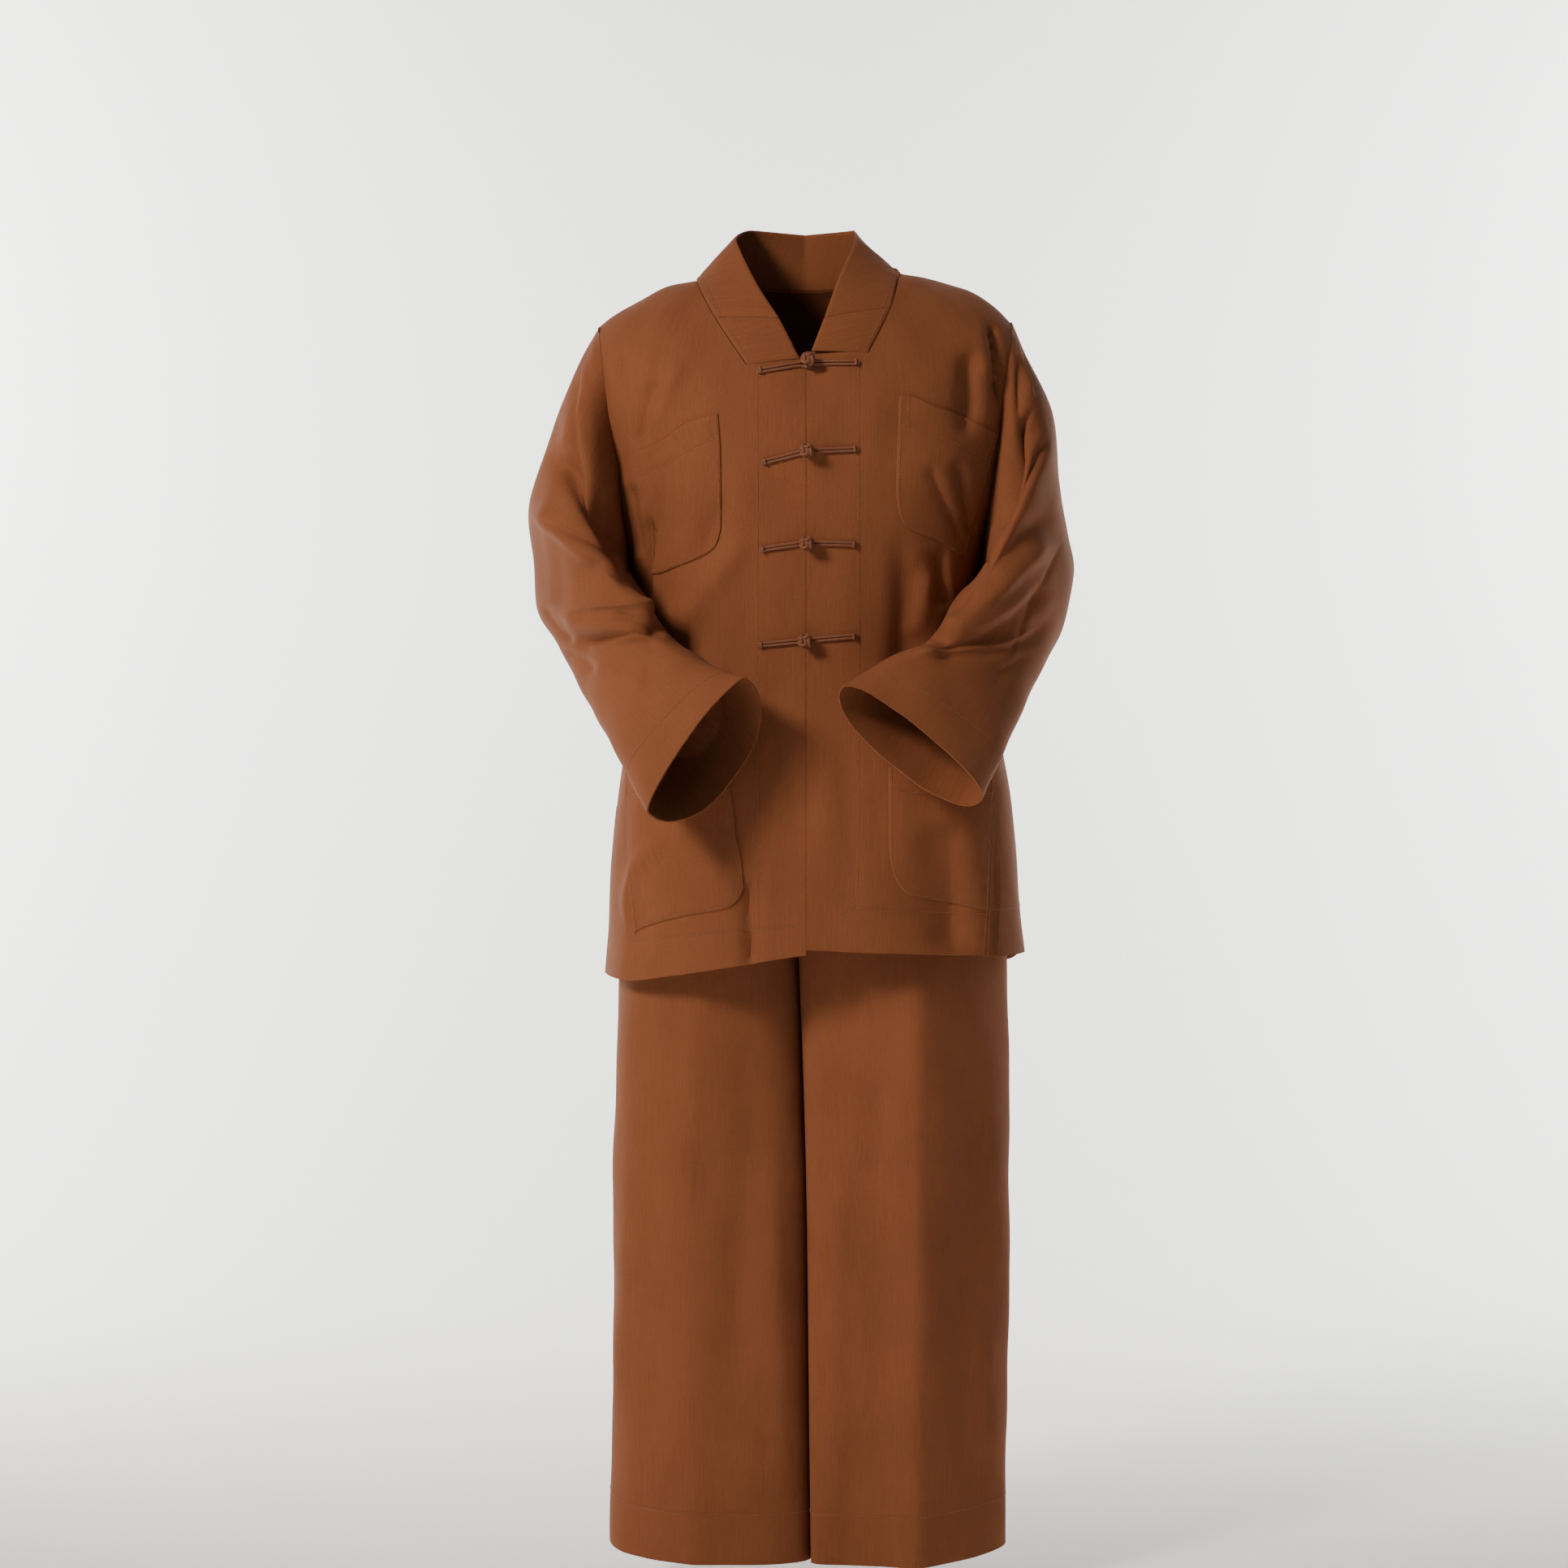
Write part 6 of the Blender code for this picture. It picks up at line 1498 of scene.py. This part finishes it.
@functools.lru_cache(maxsize=None)
def bias_cord():
    """Cotton folded on the bias into cord: slanting yarns and small pulls across the cord."""
    cloth, tree, shader = finish_of("Bias-folded cotton cord")
    place = node(tree, "ShaderNodeTexCoord")
    # Pulls about 2 mm apart, slanting
    slant = node(tree, "ShaderNodeMapping", {"Vector": place.outputs["Object"],
                                             "Rotation": (0.0, 0.6, 0.0), "Scale": (420.0, 200.0, 200.0)})
    pulls = node(tree, "ShaderNodeTexNoise", {"Vector": slant.outputs[0], "Scale": 1.0, "Detail": 2.0})
    base = settings().cloth_colour
    tone = node(tree, "ShaderNodeMix", {0: pulls.outputs["Fac"], 6: shade(base, 0.78), 7: shade(base)},
                data_type="RGBA")
    tree.links.new(tone.outputs[2], shader.inputs["Base Color"])
    relief = node(tree, "ShaderNodeBump", {"Height": pulls.outputs["Fac"], "Strength": 0.6,
                                           "Distance": 0.0006})
    tree.links.new(relief.outputs[0], shader.inputs["Normal"])
    shader.inputs["Roughness"].default_value = 0.8
    shader.inputs["Sheen Weight"].default_value = 0.01
    cloth.diffuse_color = (*base, 1.0)
    return cloth


@functools.lru_cache(maxsize=None)
def thread():
    """Spun cotton thread, a little lighter than the cloth and faintly glossy."""
    spun, tree, shader = finish_of("Spun cotton sewing thread")
    place = node(tree, "ShaderNodeTexCoord")
    twist = node(tree, "ShaderNodeTexNoise", {"Vector": place.outputs["Object"], "Scale": 300.0})
    base = settings().thread_colour
    tone = node(tree, "ShaderNodeMix", {0: twist.outputs["Fac"], 6: shade(base, 0.75), 7: shade(base)},
                data_type="RGBA")
    tree.links.new(tone.outputs[2], shader.inputs["Base Color"])
    shader.inputs["Roughness"].default_value = 0.6
    spun.diffuse_color = (*base, 1.0)
    return spun


def painted():
    """Matt white paint of a studio sheet, even, with the faintest mottle."""
    paint, tree, shader = finish_of("Matt white studio sheet")
    colour = linear(STAGE_COLOUR)
    place = node(tree, "ShaderNodeTexCoord")
    mottle = node(tree, "ShaderNodeTexNoise", {"Vector": place.outputs["Object"], "Scale": 3.0})
    tone = node(tree, "ShaderNodeMix", {0: mottle.outputs["Fac"], 6: shade(colour, 0.985),
                                        7: shade(colour)}, data_type="RGBA")
    tree.links.new(tone.outputs[2], shader.inputs["Base Color"])
    shader.inputs["Roughness"].default_value = 0.9
    # The sheet is clear from its back, so a view from behind the part isn't shut off by it
    side = node(tree, "ShaderNodeNewGeometry")
    clear = node(tree, "ShaderNodeBsdfTransparent")
    surface = node(tree, "ShaderNodeMixShader",
                   {0: side.outputs["Backfacing"], 1: shader.outputs[0], 2: clear.outputs[0]})
    tree.links.new(surface.outputs[0], tree.nodes["Material Output"].inputs["Surface"])
    return paint


def frog_lines(row):
    """Lines of a frog's cords: those of its loop half, those of its knot half, and the ball."""
    frog = dict(zip(FROG_COLUMNS, row))
    pitch = CORD_RADIUS + CORD_GAP / 2
    knot = np.array([frog["knot_x"], 0.0, frog["knot_z"]])

    def seat(spot, height):
        """A point on the fronts below a spot of the strip, lifted off them."""
        side = "left" if spot[0] < 0 else "right"
        within = SIDES[side] * max(abs(spot[0]), 2 * SEAM)
        point, normal = on_skin(tree_of("front_" + side), within, spot[2])
        return point + normal * height + np.array([spot[0] - within, 0.0, 0.0])

    lie = LIE + CORD_RADIUS
    halves = []
    for end, is_loop in ((np.array([frog["left_x"], 0.0, frog["left_z"]]), True),
                         (np.array([frog["right_x"], 0.0, frog["right_z"]]), False)):
        run = (knot - end) / np.linalg.norm(knot - end)
        square = np.array([-run[2], 0.0, run[0]])
        reach = np.linalg.norm(knot - end)
        flat = [end + run * pitch + square * pitch]
        start = pitch * STRIP_START
        stop = reach - LOOP_RADIUS - LOOP_START if is_loop else reach - STRIP_STOP
        strip = [end + run * (start + (stop - start) * i / STRIP_STEPS) for i in range(STRIP_STEPS + 1)]
        flat += [spot + square * pitch for spot in strip]
        for i in range(LOOP_STEPS + 1 if is_loop else 0):
            angle = math.pi - LOOP_MOUTH - (2 * math.pi - 2 * LOOP_MOUTH) * i / LOOP_STEPS
            flat.append(knot + LOOP_RADIUS * (run * math.cos(angle) + square * math.sin(angle)))
        flat += [spot - square * pitch for spot in reversed(strip)]
        flat.append(end + run * pitch - square * pitch)
        for degrees in STRIP_END_TURNS:
            angle = math.radians(degrees)
            flat.append(end + run * pitch * (1 - math.cos(angle)) + square * pitch * math.sin(angle))
        path = []
        for point in flat:
            ahead = float((point - knot) @ run)
            rise = (2 * CORD_RADIUS + 3 * LIE) * float(smoothstep((ahead + LOOP_RADIUS) / LOOP_RISE_RUN))
            path.append(seat(point, lie + (rise if is_loop else rise * 0.5)))
        halves.append(np.array(path))
        tab = []
        for across in np.linspace(-1.0, 1.0, FROG_TAB_STEPS):
            arch = FROG_TAB_RISE + FROG_TAB_ARCH * math.cos(across * math.pi / 2)
            tab.append(seat(end + run * FROG_TAB + square * across * pitch * FROG_TAB_HALF,
                            lie + CORD_RADIUS * arch))
        halves.append(np.array(tab))
    base, normal = on_skin(tree_of("front_right"), 2 * SEAM, knot[2])
    base[0] = knot[0]
    centre = base + normal * KNOT_LIFT
    side = np.cross(normal, np.array([0.0, 0.0, 1.0]))
    side /= np.linalg.norm(side)
    up = np.cross(side, normal)
    turk = []
    for t in np.linspace(0, 2 * np.pi, TURK_STEPS, endpoint=False):
        latitude = TURK_SWING * math.cos(TURK_SWINGS * t)
        radius = TURK_RADIUS * (1 + TURK_OVER * math.sin(2 * TURK_SWINGS * t))
        around = radius * math.cos(latitude)
        turn = TURK_TURNS * t
        turk.append(centre + around * (side * math.cos(turn) + up * math.sin(turn))
                    + normal * radius * TURK_FLAT * math.sin(latitude))
    return halves, np.array(turk), (centre, normal)


def filler_ball(name, centre, normal):
    """The stuffed middle of a knotted ball, under its cords."""
    bm = bmesh.new()
    bmesh.ops.create_icosphere(bm, subdivisions=3, radius=TURK_RADIUS * TURK_FILLER)
    turn = Vector((0.0, 0.0, 1.0)).rotation_difference(Vector(normal)).to_matrix()
    for vert in bm.verts:
        vert.co.z *= TURK_FLAT
        vert.co = turn @ vert.co + Vector(centre)
    mesh = bpy.data.meshes.new(name)
    bm.to_mesh(mesh)
    bm.free()
    return mesh


def into(bm, mesh):
    """Adds a mesh to a bmesh."""
    bm.from_mesh(mesh)
    bpy.data.meshes.remove(mesh)


def aimed(name, data, spot, aim):
    """A light or the camera at a spot, turned to what it is aimed at."""
    made = bpy.data.objects.new(name, data)
    made.location = spot
    made.rotation_euler = (Vector(aim) - Vector(spot)).to_track_quat("-Z", "Y").to_euler()
    bpy.context.scene.collection.objects.link(made)
    return made


class SuitSettings(bpy.types.PropertyGroup):
    """Sizes and colours of the suit's cloth and stitching."""

    crease_depth: FloatProperty(
        name="Crease Depth", default=1.15, min=0.0, max=2.0, subtype="FACTOR",
        description="Share of its drawn height that each crease keeps")
    ripple_height: FloatProperty(
        name="Ripple Height", default=1.0, min=0.0, max=3.0, subtype="FACTOR",
        description="Share of their drawn height that the cloth's slight waves keep")
    slub_contrast: FloatProperty(
        name="Slub Contrast", default=0.09, min=0.0, max=0.6, subtype="FACTOR",
        description="How much lighter and darker the uneven yarns are than the cloth")
    stitch_pitch: FloatProperty(
        name="Stitch Pitch", default=0.0034, unit="LENGTH", subtype="DISTANCE",
        description="Distance from stitch to stitch")
    stitch_length: FloatProperty(
        name="Stitch Length", default=0.0026, unit="LENGTH", subtype="DISTANCE",
        description="Length of each stitch that shows")
    stitch_width: FloatProperty(
        name="Stitch Width", default=0.0009, unit="LENGTH", subtype="DISTANCE",
        description="Width of the thread")
    cord_sides: IntProperty(
        name="Cord Sides", default=12, min=6, max=24, description="Sides of each frog's cord")
    cloth_colour: FloatVectorProperty(
        name="Cloth Colour", default=linear("#804B2F"), subtype="COLOR", size=3, min=0.0, max=1.0,
        description="Middle colour of the cloth")
    thread_colour: FloatVectorProperty(
        name="Thread Colour", default=linear("#935F3A"), subtype="COLOR", size=3, min=0.0, max=1.0,
        description="Colour of the sewing thread")


class SUIT_OT_jacket(bpy.types.Operator):
    """Make the jacket's fronts, back and sleeves, with their stitching."""

    bl_idname = "suit.jacket"
    bl_label = "Jacket"

    def execute(self, _context):
        cloth = slubbed_cotton()
        for name in ("front_left", "front_right", "back", "sleeve_left", "sleeve_right"):
            skin, normals = panels()[name]
            sleeve = name.startswith("sleeve")
            piece = cloth_wall(name + "_cloth", skin, normals, JACKET_CLOTH, cloth, closed=sleeve)
            sewn(piece, name, self.seams(name, skin, normals))
        return {"FINISHED"}

    def seams(self, name, skin, normals):
        """Lines of stitching over a panel."""
        lifted = off_skin(skin, normals)
        lines = [on_sight(name, points) for points in SEEN_STITCHES.get(name, ())]
        if name.startswith("sleeve"):
            run = lengths(skin.mean(axis=1))
            ring = int(np.argmin(np.abs(run - (run[-1] - CUFF_HEM))))
            lines.append(np.concatenate([lifted[ring], lifted[ring, :1]]))
            return lines
        if name == "back":
            up, rise = lifted[::-1], run_over(skin[::-1], 0)
            lines.append(np.array([at_distance(up[:, j], rise[:, j], HEM_STITCH)
                                   for j in range(skin.shape[1])]))
        across = run_over(skin, 1)
        low = np.nonzero(skin[:, -1, 2] < VENT_TOP + VENT_STITCH_RISE)[0]
        for inset in SIDE_STITCHES:
            for from_start in ((True, False) if name == "back" else (False,)):
                lines.append(np.array([
                    at_distance(lifted[i], across[i], inset if from_start else across[i, -1] - inset)
                    for i in low]))
        return lines


class SUIT_OT_collar(bpy.types.Operator):
    """Make the collar's band and its two end pieces."""

    bl_idname = "suit.collar"
    bl_label = "Collar"

    def execute(self, _context):
        grid, normals = panels()["collar"]
        count = grid.shape[1]
        last_cut = count - 1 - COLLAR_END_STEPS
        cuts = (("collar_end_left", 0, COLLAR_END_STEPS), ("collar_band", COLLAR_END_STEPS, last_cut),
                ("collar_end_right", last_cut, count - 1))
        for name, first, last in cuts:
            skin = grid[:, first:last + 1].copy()
            out = normals[:, first:last + 1]
            for edge, inward in ((0, 1), (-1, -2)):
                skin[:, edge] += unit(skin[:, inward] - skin[:, edge]) * SEAM / 2
            width = run_over(skin, 0)
            border = np.minimum(width, width[-1:] - width)
            along_it = lengths(skin[len(skin) // 2])
            ends = np.minimum(along_it, along_it[-1] - along_it)[None, :]
            turned = rounded(border, COLLAR_EDGE) * rounded(ends, COLLAR_EDGE * COLLAR_END_EDGE)
            dent = SEAM_DENT * np.exp(-((width - COLLAR_STITCH) / SEAM_DENT_WIDTH) ** 2)
            outer = skin - out * ((1 - turned) * COLLAR_CLOTH * COLLAR_TURN + dent)[..., None]
            inner = skin - out * (COLLAR_CLOTH * (COLLAR_THINNEST + COLLAR_TURN * turned))[..., None]
            piece = shell(name + "_cloth", outer, inner, out, [slubbed_cotton()])
            distance = COLLAR_STITCH if name == "collar_band" else COLLAR_STITCH * END_STITCH_SHARE
            lift = out[COLLAR_STITCH_ROW] * STITCH_LIFT
            row = [at_distance(outer[:, j], width[:, j], distance) + lift[j] for j in range(skin.shape[1])]
            sewn(piece, name, [trimmed(np.array(row), EDGE_STITCH)])
        return {"FINISHED"}


class SUIT_OT_pockets(bpy.types.Operator):
    """Make the four patch pockets with their hems and edge stitching."""

    bl_idname = "suit.pockets"
    bl_label = "Pockets"

    def execute(self, _context):
        for name in POCKET_EDGES:
            piece, lines = pocket(name, slubbed_cotton())
            sewn(piece, name, lines)
        return {"FINISHED"}


class SUIT_OT_frogs(bpy.types.Operator):
    """Make the four frogs: doubled cords with a loop, and with a knotted ball."""

    bl_idname = "suit.frogs"
    bl_label = "Frogs"

    def execute(self, _context):
        for number, row in enumerate(FROGS, start=1):
            (loop, loop_tab, strip, strip_tab), turk, ball = frog_lines(row)
            sizes = {"Radius": CORD_RADIUS, "Sides": settings().cord_sides, "Cloth": bias_cord()}
            for name, lines, knotted in ((f"frog_{number}_loop", (loop, loop_tab), False),
                                         (f"frog_{number}_knot", (strip, strip_tab), True)):
                cords = [(lines[0], True), (lines[1], False)]
                bm = bmesh.new()
                into(bm, grown(name, cord_tree(), cords, sizes))
                if knotted:
                    wound = dict(sizes, Radius=TURK_CORD)
                    into(bm, grown(name, cord_tree(), [(turk, True)], wound))
                    into(bm, filler_ball(name, *ball))
                mesh = bpy.data.meshes.new(name + "_cord")
                bm.to_mesh(mesh)
                bm.free()
                belongs(piece_object(name + "_cord", mesh, [bias_cord()]), name)
        return {"FINISHED"}


class SUIT_OT_trousers(bpy.types.Operator):
    """Make the trousers' four leg panels and waistband, with their stitching."""

    bl_idname = "suit.trousers"
    bl_label = "Trousers"

    def execute(self, _context):
        cloth = slubbed_cotton()
        for side in SIDES:
            for sheer in ("front", "back"):
                name = f"leg_{sheer}_{side}"
                skin, normals = leg_panel(side, sheer)
                piece = cloth_wall(name + "_cloth", skin, normals, TROUSER_CLOTH, cloth)
                lifted = off_skin(skin, normals)
                fall = skin[:, :, 2] - skin[-1:, :, 2]
                row = [at_distance(lifted[::-1, j], fall[::-1, j], TROUSER_STITCH)
                       for j in range(skin.shape[1])]
                sewn(piece, name, [np.array(row)])
        skin = waistband_skin()
        normals = ring_normals(skin)
        piece = cloth_wall("waistband_cloth", skin, normals, COLLAR_CLOTH, cloth, closed=True)
        sewn(piece, "waistband",
             [np.concatenate([row, row[:1]]) for row in off_skin(skin, normals)[[1, -2]]])
        return {"FINISHED"}


class SUIT_OT_stage(bpy.types.Operator):
    """Set up the pale floor and backdrop, the soft lights and the camera."""

    bl_idname = "suit.stage"
    bl_label = "Studio"

    def execute(self, context):
        profile = [(-STAGE_HALF, 0.0)]
        profile += [(STAGE_BACK + STAGE_BEND * math.sin(t), STAGE_BEND * (1 - math.cos(t)))
                    for t in np.radians(np.linspace(0, 90, STAGE_STEPS))]
        profile.append((STAGE_BACK + STAGE_BEND, STAGE_HALF))
        bm = bmesh.new()
        edges = [[bm.verts.new((x, y, FLOOR_Z + z)) for y, z in profile]
                 for x in (-STAGE_HALF, STAGE_HALF)]
        for k in range(len(profile) - 1):
            bm.faces.new((edges[0][k], edges[1][k], edges[1][k + 1], edges[0][k + 1]))
        mesh = bpy.data.meshes.new("studio_floor")
        bm.to_mesh(mesh)
        bm.free()
        floor = piece_object("studio_floor", mesh, [painted()])
        for name, spot, aim, size, power_watts, colour in LIGHTS:
            light = bpy.data.lights.new(name, "AREA")
            light.shape, light.size, light.energy = "SQUARE", size, power_watts
            light.color = linear(colour)
            aimed(name, light, spot, aim)
        world = bpy.data.worlds.new("Studio air")
        world.use_nodes = True
        sky = world.node_tree.nodes["Background"]
        sky.inputs["Color"].default_value = (*linear(AIR_COLOUR), 1.0)
        rays = node(world.node_tree, "ShaderNodeLightPath")
        glow = node(world.node_tree, "ShaderNodeMapRange",
                    {0: rays.outputs["Is Camera Ray"], 3: AIR_STRENGTH, 4: AIR_SEEN})
        world.node_tree.links.new(glow.outputs[0], sky.inputs["Strength"])
        context.scene.world = world
        lens = bpy.data.cameras.new("Camera")
        lens.lens, lens.sensor_width = CAMERA_LENS, CAMERA_SENSOR
        context.scene.camera = aimed("Camera", lens, CAMERA_AT, CAMERA_AIM)
        return {"FINISHED"}


class SUIT_PT_panel(bpy.types.Panel):
    """Lists the suit's pieces and settings in the 3D view's sidebar."""

    bl_label = "Suit"
    bl_idname = "SUIT_PT_panel"
    bl_space_type = "VIEW_3D"
    bl_region_type = "UI"
    bl_category = "Suit"

    def draw(self, context):
        for name in SuitSettings.__annotations__:
            self.layout.prop(context.scene.suit, name)
        for operator in OPERATORS:
            self.layout.operator(operator.bl_idname)


OPERATORS = (SUIT_OT_jacket, SUIT_OT_collar, SUIT_OT_pockets, SUIT_OT_frogs, SUIT_OT_trousers,
             SUIT_OT_stage)
CLASSES = (SuitSettings, *OPERATORS, SUIT_PT_panel)


def register():
    for kind in CLASSES:
        bpy.utils.register_class(kind)
    bpy.types.Scene.suit = PointerProperty(type=SuitSettings)


def unregister():
    del bpy.types.Scene.suit
    for kind in reversed(CLASSES):
        bpy.utils.unregister_class(kind)


def main():
    register()
    bpy.ops.suit.jacket()
    bpy.ops.suit.collar()
    bpy.ops.suit.pockets()
    bpy.ops.suit.frogs()
    bpy.ops.suit.trousers()
    bpy.ops.suit.stage()


if __name__ == "__main__":
    main()
